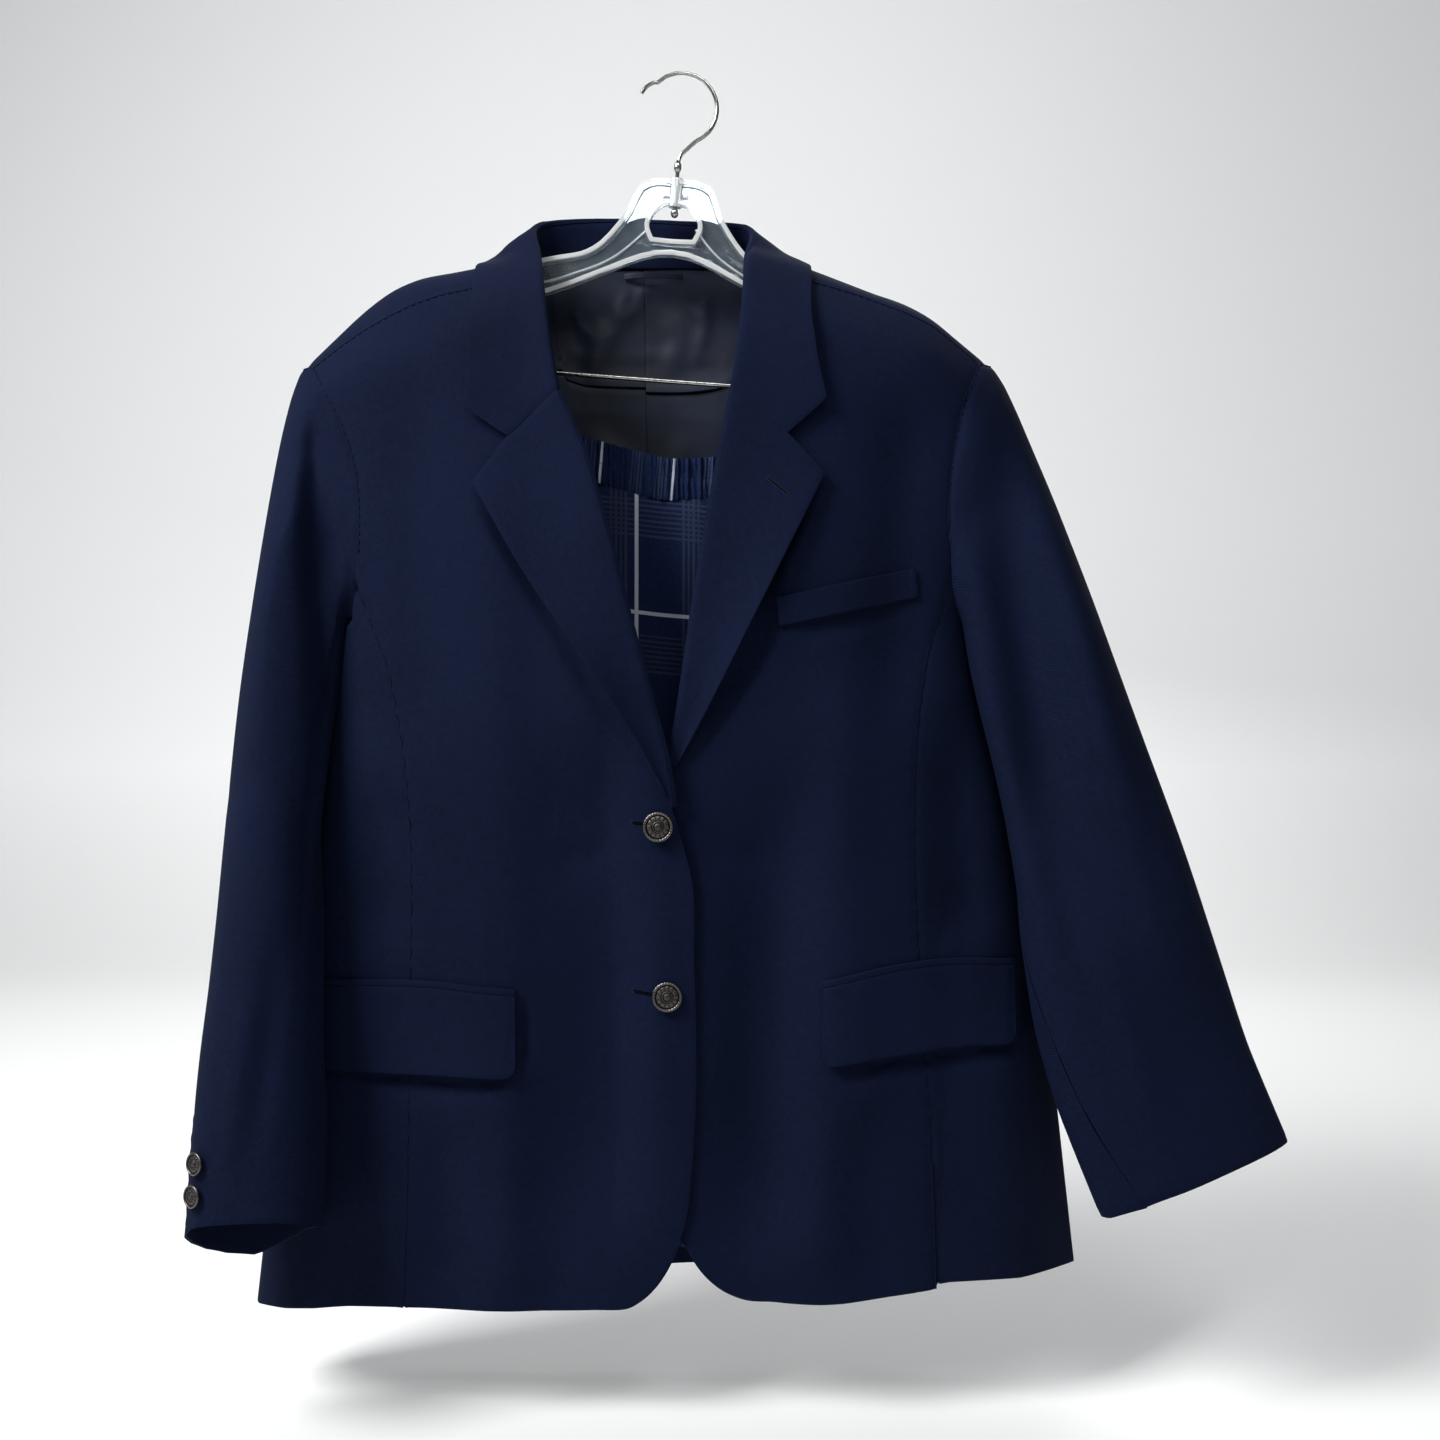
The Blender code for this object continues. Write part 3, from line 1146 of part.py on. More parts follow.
def inset(outline, amount):
    """The outline moved inwards by `amount`, or outwards where it is negative."""
    before = unit(outline - np.roll(outline, 1, axis=0))
    after = unit(np.roll(outline, -1, axis=0) - outline)
    normals = [np.stack((side[:, 1], -side[:, 0]), axis=-1) for side in (before, after)]
    middle = unit(normals[0] + normals[1])
    stretch = np.maximum(np.sum(middle * normals[0], axis=1, keepdims=True), 0.5)
    area = np.sum(outline[:, 0] * np.roll(outline[:, 1], -1)
                  - np.roll(outline[:, 0], -1) * outline[:, 1])
    return outline - middle * np.sign(area) * amount / stretch


def hanger_plate(material):
    """A thin web with a thicker rim round its outline and round the window."""
    outline, window = whole(HANGER_HALF), whole(WINDOW_HALF)
    rim, frame = inset(outline, RIM_WIDTH), inset(window, -RIM_WIDTH)
    loops = (outline, rim, frame, window)
    levels = {0: RIM_HALF, 1: RIM_HALF, 2: WEB_HALF, 3: WEB_HALF, 4: RIM_HALF, 5: RIM_HALF}
    order = (0, 1, 1, 2, 2, 3)
    points, starts = [], {}
    for face in (-1, 1):
        for place, loop in enumerate(order):
            starts[face, place] = len(points)
            points += [(x, face * levels[place], z) for x, z in loops[loop]]
    faces = []

    def band(low, high, count):
        for i in range(count):
            j = (i + 1) % count
            faces.append([low + i, low + j, high + j, high + i])

    many, few = len(outline), len(window)
    flat = [[Vector((x, z, 0)) for x, z in loop] for loop in (rim, frame)]
    web = tessellate_polygon(flat)
    for face in (-1, 1):
        band(starts[face, 0], starts[face, 1], many)
        band(starts[face, 1], starts[face, 2], many)
        band(starts[face, 3], starts[face, 4], few)
        band(starts[face, 4], starts[face, 5], few)
        for corners in web:
            faces.append([starts[face, 2] + i if i < many else starts[face, 3] + i - many
                          for i in corners])
    band(starts[-1, 0], starts[1, 0], many)
    band(starts[-1, 5], starts[1, 5], few)
    return mesh_object("hanger_body", hung(points), faces, material)


def tube(name, path, radii, sides, material):
    """A round wire along a path in the hanger's plane, then tilted."""
    path = np.asarray(path, float)
    along = unit(np.gradient(path, axis=0))
    swing = np.linspace(0, 2 * math.pi, sides, endpoint=False)
    rings = []
    for (x, z), (dx, dz), radius in zip(path, along, radii):
        side, ahead = np.cos(swing) * radius, np.sin(swing) * radius
        rings.append(np.stack((x - dz * side, ahead, z + dx * side), axis=-1))
    return loft(name, hung(rings), material)


def rod(name, top, bottom, radius, sides, material):
    return tube(name, ((0, top), (0, bottom)), (radius, radius), sides, material)


def cut(thing, tool, operation):
    step = thing.modifiers.new(tool.name, "BOOLEAN")
    step.operation = operation
    step.solver = "EXACT"
    step.object = tool
    tool.hide_render = True
    tool.display_type = "WIRE"


def clip(name, at, material):
    """An inverted U hung on the bar, with the waistband between its legs."""
    half = ((CLIP_OUTER, CLIP_BOTTOM), (CLIP_OUTER, CLIP_TOP - 1.5), (CLIP_OUTER - 1.5, CLIP_TOP))
    inner = ((CLIP_INNER, CLIP_BOTTOM), (CLIP_INNER, CLIP_UNDER - 2), (CLIP_INNER - 2, CLIP_UNDER))
    outline = list(half) + [(-y, z) for y, z in half[::-1]]
    outline += [(-y, z) for y, z in inner] + [(y, z) for y, z in inner[::-1]]
    rings = [[(at + off, y, z) for y, z in outline] for off in (-CLIP_HALF_WIDTH, CLIP_HALF_WIDTH)]
    return loft(name, hung(rings), material)


def make_hanger(mats):
    plate = hanger_plate(mats["clear"])
    boss = rod("tube_of_hanger", BOSS_TOP, BOSS_BOTTOM, BOSS_RADIUS, 20, mats["clear"])
    bore = rod("bore_for_hook", BOSS_TOP + 5, BOSS_BOTTOM - 2, BORE_RADIUS, 16, mats["clear"])
    cut(plate, boss, "UNION")
    cut(plate, bore, "DIFFERENCE")
    swing = np.radians(np.linspace(HOOK_FROM, HOOK_TO, HOOK_STEPS))
    loop = np.stack((HOOK_CENTRE[0] + HOOK_RADIUS * np.cos(swing),
                     HOOK_CENTRE[1] + HOOK_RADIUS * np.sin(swing)), axis=-1)
    end = np.array(HOOK_END)
    path = np.concatenate((np.array(HOOK_TIP), loop, end[:, :2]))
    radii = [WIRE_RADIUS] * (len(HOOK_TIP) + HOOK_STEPS) + list(end[:, 2])
    tube("hook", path, radii, HOOK_SIDES, mats["wire"])
    corner = BAR_CORNER
    bar = [(-BAR_HALF, BAR_TOP), (-BAR_HALF, BAR_LEVEL + corner),
           (-BAR_HALF + corner * 0.3, BAR_LEVEL + corner * 0.3), (-BAR_HALF + corner, BAR_LEVEL)]
    bar = np.array(bar + [(-x, z) for x, z in bar[::-1]])
    tube("lower_bar", bar, [WIRE_RADIUS] * len(bar), BAR_SIDES, mats["wire"])
    clip("clip_left", CLIP_AT[0], mats["clear"])
    clip("clip_right", CLIP_AT[1], mats["clear"])


# ---------------------------------------------------------------- materials and assembly

def material_set():
    return {
        "wool": material("navy_wool_cloth", (0.0095, 0.0125, 0.027), 0.85),
        "lining": material("dark_satin_lining", (0.017, 0.017, 0.02), 0.5),
        "check": material("checked_skirt_cloth", (0.02, 0.028, 0.045), 0.85),
        "button": material("antique_silver_metal", (0.42, 0.41, 0.4), 0.35, 1.0),
        "wire": material("chromed_steel_wire", (0.7, 0.7, 0.68), 0.2, 1.0),
        "clear": material("clear_plastic", (0.85, 0.87, 0.86), 0.1),
    }


def clear_scene():
    for thing in list(bpy.data.objects):
        bpy.data.objects.remove(thing, do_unlink=True)


def make_body(mats):
    for side, name in ((LEFT, "left"), (RIGHT, "right")):
        wall("front_" + name, *front_wall(side), CLOTH, mats["wool"], turn=0.3)
        wall("side_front_" + name, *side_front_wall(side), CLOTH, mats["wool"])
        wall("back_" + name, *back_wall(side), CLOTH, mats["wool"])
        wall("lapel_" + name, *lapel_wall(side), CLOTH, mats["wool"], LAPEL_SEAMS, 0.0)
        top, under = sleeve_walls(side)
        wall("sleeve_top_" + name, *top, CLOTH, mats["wool"], turn=0.7)
        wall("sleeve_under_" + name, *under, CLOTH, mats["wool"], turn=0.7)
        wall("pocket_flap_" + name, *flap_wall(side), TRIM_CLOTH, mats["wool"], (0, 0, 0, 0))
        wall("pocket_jet_" + name, *jet_wall(side), TRIM_CLOTH, mats["wool"], (0, 0, 0, 0))
    wall("breast_welt", *welt_wall(), TRIM_CLOTH, mats["wool"], (0, 0, 0, 0))


def make_collar(mats):
    fall, stand = collar_walls()
    wall("collar", *fall, CLOTH, mats["wool"], COLLAR_SEAMS, 0.0)
    wall("collar_stand", *stand, CLOTH, mats["wool"], STAND_SEAMS, 0.3)


def make_skirt(mats):
    for face, name in ((-1, "front"), (1, "back")):
        wall("waistband_" + name, *waistband_wall(face), SKIRT_CLOTH, mats["check"], turn=0.1)
        wall("skirt_" + name, *skirt_wall(face), SKIRT_CLOTH, mats["check"], turn=0.3)


def main():
    clear_scene()
    mats = material_set()
    make_body(mats)
    make_collar(mats)
    make_lining(mats)
    make_buttons(mats)
    make_skirt(mats)
    make_hanger(mats)


main()
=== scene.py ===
# %% [markdown]
# # A school uniform on a hanger
# A navy two-button blazer over a gathered checked skirt, on a clear hanger with a wire hook.
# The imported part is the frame: solid walls in the garment's hung shape. Cloth could be simulated
# from flat cuts, but then it would leave that frame. Here the same walls are split finer on
# smooth curves, creased by hand and given their cloth. All tables are in millimetres, in the
# frame's own axes: +X to the viewer's right, +Y towards the back of the garment, +Z up.
# %% Load the frame
import math
import bpy
import bmesh
import numpy as np
from mathutils.bvhtree import BVHTree
from mathutils.kdtree import KDTree
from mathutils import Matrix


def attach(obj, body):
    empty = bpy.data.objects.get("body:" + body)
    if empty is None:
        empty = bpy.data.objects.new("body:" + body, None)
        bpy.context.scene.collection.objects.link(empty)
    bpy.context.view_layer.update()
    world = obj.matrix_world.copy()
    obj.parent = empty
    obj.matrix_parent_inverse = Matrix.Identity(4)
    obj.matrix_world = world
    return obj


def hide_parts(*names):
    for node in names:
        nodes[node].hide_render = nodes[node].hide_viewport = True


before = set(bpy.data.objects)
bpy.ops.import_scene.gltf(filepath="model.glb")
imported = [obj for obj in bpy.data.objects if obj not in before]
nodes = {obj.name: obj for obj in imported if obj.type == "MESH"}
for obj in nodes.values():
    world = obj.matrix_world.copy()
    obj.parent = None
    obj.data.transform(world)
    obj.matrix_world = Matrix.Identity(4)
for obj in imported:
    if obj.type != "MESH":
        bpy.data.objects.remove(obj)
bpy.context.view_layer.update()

print("nodes", len(nodes))

# %% [markdown]
# ## Helpers
# Colours are written as sRGB hex, as a paint chart gives them, and Blender's shaders want them
# linear, so `shade` turns them. Shaders could be wired by hand in the editor, but trees that a
# script builds can be read and repeated, so `add` puts in any node with its settings and links.
# %% Colours and nodes
MM = 0.001


def shade(code):
    """An sRGB hex colour as linear RGBA."""
    parts = [int(code[i:i + 2], 16) / 255 for i in (0, 2, 4)]
    linear = [c / 12.92 if c <= 0.04045 else ((c + 0.055) / 1.055) ** 2.4 for c in parts]
    return (*linear, 1.0)


def add(tree, kind, *inputs, stops=(), **settings):
    """Adds a node to the tree, with its settings and the (place, colour) stops of a ramp.
    The inputs come in the order of its sockets, or in a dict by name or number, and each is a
    constant or another node's output."""
    made = tree.nodes.new(kind)
    for key, value in settings.items():
        setattr(made, key, value)
    points = made.color_ramp.elements if stops else []
    while len(points) < len(stops):
        points.new(0.5)
    for point, (place, colour) in zip(points, stops):
        point.position, point.color = place, colour
    given = inputs[0] if inputs and isinstance(inputs[0], dict) else dict(enumerate(inputs))
    for key, value in given.items():
        if isinstance(value, bpy.types.NodeSocket):
            tree.links.new(value, made.inputs[key])
        else:
            made.inputs[key].default_value = value
    return made


def weighted(tree, *terms):
    """The sum of sources times their weights."""
    total = 0.0
    for source, weight in terms:
        total = add(tree, "ShaderNodeMath", source, weight, total,
                    operation="MULTIPLY_ADD").outputs[0]
    return total


print("helpers ready")

# %% [markdown]
# A finish is more than a colour: its tone wanders with the yarn or the casting, and its relief
# catches the light. `finish` gives a shader its colour and constants, `relief` its relief, and
# `mottled` makes the simple ones.
# %% Materials
def new_material(name):
    """An empty node material with its shader and output; returns the material and the shader."""
    made = bpy.data.materials.new(name)
    made.use_nodes = True
    tree = made.node_tree
    tree.nodes.clear()
    shader = add(tree, "ShaderNodeBsdfPrincipled")
    add(tree, "ShaderNodeOutputMaterial", {"Surface": shader.outputs[0]})
    return made, shader


def finish(tree, shader, colour, **values):
    """Gives the shader its colour and its constants; underscores in names stand for spaces."""
    tree.links.new(colour, shader.inputs["Base Color"])
    for key, value in values.items():
        shader.inputs[key.replace("_", " ")].default_value = value


def relief(tree, shader, height, strength, depth):
    """Gives the shader a fine relief, `depth` millimetres deep."""
    made = add(tree, "ShaderNodeBump",
               {"Height": height, "Strength": strength, "Distance": depth * MM})
    tree.links.new(made.outputs[0], shader.inputs["Normal"])


def per(size):
    """The texture scale that makes features of a size in millimetres."""
    return 1.0 / (size * MM)


def tones(low, dark, high, light):
    """Ramp stops from a dark tone to a light one."""
    return (low, shade(dark)), (high, shade(light))


def mottled(name, size, dark, light, **values):
    """A material that wanders between two tones over patches of a size."""
    made, shader = new_material(name)
    tree = made.node_tree
    place = add(tree, "ShaderNodeTexCoord").outputs["Object"]
    cloud = add(tree, "ShaderNodeTexNoise", {"Vector": place, "Scale": per(size)}).outputs[0]
    colour = add(tree, "ShaderNodeValToRGB", cloud, stops=tones(0.3, dark, 0.8, light))
    finish(tree, shader, colour.outputs[0], **values)
    return made


# buttonhole thread: spun, so it is dull, and a little lighter where a strand turns to the light
thread = mottled("navy buttonhole thread", 0.4, "070b1a", "131c36", Roughness=0.75,
                 Sheen_Weight=0.02, Specular_IOR_Level=0.15)
# the inside of a buttonhole: painted shade, near black, where the cut cloth lies in shadow
dark = mottled("buttonhole inside", 0.6, "020307", "05070e", Roughness=0.9,
               Specular_IOR_Level=0.02)
# chrome-plated wire of the hook and the lower bar: bright, with a soft drawn unevenness
wire = mottled("chrome wire", 2.5, "8b8c8a", "c9c9c5", Metallic=1.0, Roughness=0.16)
print("simple materials", [m.name for m in bpy.data.materials])

# %% [markdown]
# ## Woven cloth
# The blazer is a wool-blend twill: yarns cross in diagonal ribs under a short soft nap. It could
# be a picture of cloth, but a pattern worked out from the cloth's own directions stays sharp at
# any distance. Each cloth piece carries the attribute `weave`, its distance across and along the
# cloth in millimetres, which the ribs and the checks follow.
# %% Navy wool twill
def weave_axes(tree):
    """The two cloth directions, in millimetres, and the plain object position."""
    made = add(tree, "ShaderNodeAttribute", attribute_name="weave")
    parts = add(tree, "ShaderNodeSeparateXYZ", made.outputs["Vector"]).outputs
    return parts[0], parts[1], add(tree, "ShaderNodeTexCoord").outputs["Object"]


def yarns(tree, source, pitch):
    """Yarns or ribs, `pitch` millimetres apart along the source: a sine from 0.5 to 1.5."""
    turns = weighted(tree, (source, 2 * math.pi / pitch))
    sine = add(tree, "ShaderNodeMath", turns, operation="SINE").outputs[0]
    return add(tree, "ShaderNodeMath", sine, 0.5, 1.0, operation="MULTIPLY_ADD").outputs[0]


TWILL_PITCH, TWILL_DEPTH = 0.9, 0.18    # a real rib is 0.5 mm: the render shows no finer one
FIBRE, SLUB, PATCH = 0.9, 4.0, 90.0     # sizes of the nap's, the yarns' and the cloth's unevenness
FIBRE_DETAIL, FIBRE_ROUGHNESS = 3.0, 0.7
DIAGONAL = math.sqrt(0.5)


def nap(tree, place):
    """The nap's short fibres, which catch the light in specks."""
    return add(tree, "ShaderNodeTexNoise",
               {"Vector": place, "Scale": per(FIBRE), "Detail": FIBRE_DETAIL,
                "Roughness": FIBRE_ROUGHNESS}).outputs[0]


# wool twill is matt, with a faint blue bloom where its nap is seen on edge
wool, wool_shader = new_material("navy wool twill")
tree = wool.node_tree
across, along, place = weave_axes(tree)
rib = yarns(tree, weighted(tree, (across, DIAGONAL), (along, DIAGONAL)), TWILL_PITCH)
fibre = nap(tree, place)
slub = add(tree, "ShaderNodeTexNoise", {"Vector": place, "Scale": per(SLUB)}).outputs[0]
patch = add(tree, "ShaderNodeTexNoise",
            {"Vector": place, "Scale": per(PATCH), "Detail": 1.0}).outputs[0]
tone = weighted(tree, (fibre, 0.8), (slub, 0.25), (patch, 0.2), (rib, 0.25))
colour = add(tree, "ShaderNodeValToRGB", tone, stops=tones(0.5, "02040b", 1.0, "0c142b"))
finish(tree, wool_shader, colour.outputs[0], Roughness=0.85, Specular_IOR_Level=0.05,
       Sheen_Weight=0.025, Sheen_Roughness=0.4, Sheen_Tint=shade("6d7cae"))
relief(tree, wool_shader, weighted(tree, (rib, 1.0), (fibre, 1.6)), 0.55, TWILL_DEPTH)
print("twill ribs", TWILL_PITCH, "mm apart")

# %% [markdown]
# The back lining is a charcoal satin. Satin's long floats lie side by side, so it gleams softly
# where twill stays dull. A lower roughness gives that, and faint cloudy tones in its colour add
# a painted sheen at little cost.
# %% Lining satin
SATIN_SHEEN_CLOUD, SATIN_WARP, SATIN_WEFT = 35.0, 0.6, 0.5

# the back lining's satin and its hanger loop
lining, lining_shader = new_material("charcoal satin lining")
tree = lining.node_tree
across, along, place = weave_axes(tree)
# painted sheen: slow cloudy patches, lighter and darker, stand in for the satin's soft gleam
cloud = add(tree, "ShaderNodeTexNoise", {"Vector": place, "Scale": per(SATIN_SHEEN_CLOUD)}).outputs[0]
weft, warp = yarns(tree, along, SATIN_WEFT), yarns(tree, across, SATIN_WARP)
tone = weighted(tree, (cloud, 0.9), (weft, 0.15))
colour = add(tree, "ShaderNodeValToRGB", tone, stops=tones(0.3, "0b0f1c", 0.8, "1a2133"))
finish(tree, lining_shader, colour.outputs[0], Roughness=0.45, Specular_IOR_Level=0.22,
       Sheen_Weight=0.02)
relief(tree, lining_shader, weighted(tree, (weft, 1.0), (warp, 1.0)), 0.25, 0.06)
print("satin ready")

# %% [markdown]
# ## The skirt's check
# A check is woven from coloured yarns, so its lines follow the cloth into every gather. It is
# charted here, in millimetres from its white line, which comes once in each repeat both
# ways. Across, a plain navy square lies beside the white line and then come two groups of fine
# grey lines. Down, one wider group of grey lines lies under the white line. A ramp over one
# repeat draws each direction, and the lighter of the two shows where they cross.
# %% Chart of the check
REPEAT_ACROSS, REPEAT_DOWN = 75.0, 92.0
WHITE_WIDTH = 2.2
# middle and width of each grey line
GREY_ACROSS = ((32.0, 1.5), (35.4, 1.0), (38.8, 1.5), (42.2, 1.0), (57.6, 1.0), (61.0, 1.5),
               (64.4, 1.0), (67.8, 1.5))
GREY_DOWN = ((52.6, 1.4), (56.0, 0.9), (59.4, 0.9), (62.8, 1.3), (66.2, 0.9), (69.6, 0.9),
             (73.0, 1.3), (76.4, 0.9))
EDGE = 0.3                              # over which a line fades into the ground
BLACK, GREY, WHITE = (0, 0, 0, 1), (0.045, 0.045, 0.045, 1), (1, 1, 1, 1)


def line_stops(grey_lines, repeat):
    """Ramp stops over one repeat: white line at its start and end, grey lines between."""
    stops = [(0.0, WHITE), (WHITE_WIDTH / 2, WHITE), (WHITE_WIDTH / 2 + EDGE, BLACK)]
    for middle, width in grey_lines:
        stops += [(middle - width / 2 - EDGE, BLACK), (middle - width / 2, GREY),
                  (middle + width / 2, GREY), (middle + width / 2 + EDGE, BLACK)]
    stops += [(repeat - WHITE_WIDTH / 2 - EDGE, BLACK), (repeat - WHITE_WIDTH / 2, WHITE)]
    return [(place / repeat, colour) for place, colour in stops]


print("grey lines", len(GREY_ACROSS), "across and", len(GREY_DOWN), "down")


# %% Checked cloth
def check_lines(tree, source, grey_lines, repeat):
    """How light the check's yarns are along one cloth direction, from 0 to 1.
    A ramp holds 32 stops at most, so each takes half of the grey lines."""
    share = weighted(tree, (source, 1.0 / repeat))
    share = add(tree, "ShaderNodeMath", share, operation="FRACT").outputs[0]
    half = len(grey_lines) // 2
    ramps = [add(tree, "ShaderNodeValToRGB", share, stops=line_stops(lines, repeat)).outputs[0]
             for lines in (grey_lines[:half], grey_lines[half:])]
    return add(tree, "ShaderNodeMath", *ramps, operation="MAXIMUM").outputs[0]


CHECK_YARN, CHECK_DEPTH = 0.8, 0.16

# the skirt's plain-woven check: matt, with a dry speckle of fibres over ground and lines alike
check, check_shader = new_material("navy check skirt cloth")
tree = check.node_tree
across, along, place = weave_axes(tree)
lines = add(tree, "ShaderNodeMath", check_lines(tree, across, GREY_ACROSS, REPEAT_ACROSS),
            check_lines(tree, along, GREY_DOWN, REPEAT_DOWN), operation="MAXIMUM").outputs[0]
fibre = nap(tree, place)
ground = add(tree, "ShaderNodeValToRGB", fibre, stops=tones(0.3, "0a1128", 0.75, "1a294e"))
speckle = add(tree, "ShaderNodeMath", fibre, 0.4, 0.75, operation="MULTIPLY_ADD").outputs[0]
lit = add(tree, "ShaderNodeMath", lines, speckle, operation="MULTIPLY").outputs[0]
colour = add(tree, "ShaderNodeMix", {0: lit, 6: ground.outputs[0], 7: shade("a6adb9")},
             data_type="RGBA")
finish(tree, check_shader, colour.outputs[2], Roughness=0.8, Sheen_Weight=0.02,
       Sheen_Tint=shade("8c97b8"), Specular_IOR_Level=0.06)
warp, weft = yarns(tree, across, CHECK_YARN), yarns(tree, along, CHECK_YARN)
weave = add(tree, "ShaderNodeMath", warp, weft, fibre, operation="MULTIPLY_ADD").outputs[0]
relief(tree, check_shader, weave, 0.5, CHECK_DEPTH)
print("cloth materials", [m.name for m in bpy.data.materials])

# %% [markdown]
# ## Clear plastic and silver
# The hanger is moulded in clear polystyrene. Real clear plastic shows mostly what is behind it,
# and its thick rims gather light, so the rims get a painted highlight, white and less see-through
# by their distance from the middle plane. The buttons are cast and blackened, then rubbed bright
# on top.
# %% Clear hanger plastic
# painted highlight on the thick rims: white and less see-through between these distances
PAINTED_RIM_FROM, PAINTED_RIM_TO = 1.6, 2.4             # from the hanger's middle plane, where its rims begin
PAINTED_RIM_RAMP = 10.0                         # how far from that plane the ramp of the rims reaches
PLASTIC_CLOUD = 9.0                     # size of the plastic's faint unevenness

clear, clear_shader = new_material("clear hanger plastic")
tree = clear.node_tree
place = add(tree, "ShaderNodeTexCoord").outputs["Object"]
cloud = add(tree, "ShaderNodeTexNoise", {"Vector": place, "Scale": per(PLASTIC_CLOUD)}).outputs[0]
depth = add(tree, "ShaderNodeSeparateXYZ", place).outputs[1]
depth = add(tree, "ShaderNodeMath", depth, operation="ABSOLUTE").outputs[0]
# painted highlight: the colour turns white towards the rims, by distance from the middle plane
rim = add(tree, "ShaderNodeValToRGB", weighted(tree, (depth, per(PAINTED_RIM_RAMP))),
          stops=((PAINTED_RIM_FROM / PAINTED_RIM_RAMP, BLACK), (PAINTED_RIM_TO / PAINTED_RIM_RAMP, WHITE))).outputs[0]
web = add(tree, "ShaderNodeValToRGB", cloud, stops=tones(0.3, "98a8b4", 0.8, "b6c4cd"))
colour = add(tree, "ShaderNodeMix", {0: rim, 6: web.outputs[0], 7: shade("f4f6f5")},
             data_type="RGBA")
finish(tree, clear_shader, colour.outputs[2], IOR=1.49, Specular_IOR_Level=0.5)
through = add(tree, "ShaderNodeMath", rim, -0.3, 0.9, operation="MULTIPLY_ADD").outputs[0]
tree.links.new(through, clear_shader.inputs["Transmission Weight"])
rough = add(tree, "ShaderNodeMath", cloud, 0.05, 0.03, operation="MULTIPLY_ADD").outputs[0]
tree.links.new(rough, clear_shader.inputs["Roughness"])
print("clear plastic ready")

# %% Antique silver
# the buttons' blackened silver: the attribute `hollow` is 1 where the pattern is low and dark
silver, silver_shader = new_material("antique silver")
tree = silver.node_tree
hollow = add(tree, "ShaderNodeAttribute", attribute_name="hollow").outputs["Fac"]
colour = add(tree, "ShaderNodeValToRGB", hollow, stops=tones(0.1, "5c5a57", 0.9, "0f0e0e"))
finish(tree, silver_shader, colour.outputs[0], Metallic=1.0)
rough = add(tree, "ShaderNodeMath", hollow, 0.3, 0.26, operation="MULTIPLY_ADD").outputs[0]
tree.links.new(rough, silver_shader.inputs["Roughness"])
print("hard materials ready")

# %% [markdown]
# ## Splitting the walls on smooth curves
# A sewn shell is smooth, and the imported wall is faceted. Blender's own subdivision would shrink
# it off the frame. Here each face is split at its edges' middles and at its own middle, which
# are lifted onto the curve that the normals at its corners ask for, so every packed corner stays
# where it is. Faces that meet at a sharp edge, such as a wall's rim, keep their own normals.
# %% Read a packed wall
SHARP = math.radians(48)                # a sharper edge divides a wall's face from its rim
WELD = 0.002                            # points this near each other are one
PLANE, SKEW = math.radians(35), math.radians(70)    # limits for joining triangles into quads


def smooth_parts(mesh):
    """A number for each face's part, where parts are divided by sharp edges."""
    part = {}
    for seed in mesh.faces:
        if seed in part:
            continue
        number = max(part.values(), default=-1) + 1
        part[seed], reached = number, [seed]
        while reached:
            face = reached.pop()
            for edge in face.edges:
                if edge.is_manifold and edge.calc_face_angle() < SHARP:
                    for other in edge.link_faces:
                        if other not in part:
                            part[other] = number
                            reached.append(other)
    return [part[face] for face in mesh.faces]


def read_node(name):
    """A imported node's points in millimetres, and its faces in blocks of one size with parts."""
    mesh = bmesh.new()
    mesh.from_mesh(nodes[name].data)
    bmesh.ops.remove_doubles(mesh, verts=mesh.verts, dist=WELD * MM)
    bmesh.ops.join_triangles(mesh, faces=mesh.faces, angle_face_threshold=PLANE,
                             angle_shape_threshold=SKEW)
    mesh.verts.index_update()
    parts = smooth_parts(mesh)
    points = np.array([v.co for v in mesh.verts]) / MM
    blocks = []
    for size in (3, 4):
        chosen = [([v.index for v in face.verts], part) for face, part in zip(mesh.faces, parts)
                  if len(face.verts) == size]
        if chosen:
            blocks.append(tuple(np.array(column) for column in zip(*chosen)))
    mesh.free()
    return points, blocks


points, blocks = read_node("front_left")
print("front_left is packed with", len(points), "points")


# %% Split every face once
def face_normals(points, faces):
    """Twice the faces' areas along their normals, for faces of one size."""
    spokes = points[faces] - points[faces].mean(axis=1, keepdims=True)
    return np.cross(spokes, np.roll(spokes, -1, axis=1)).sum(axis=1)


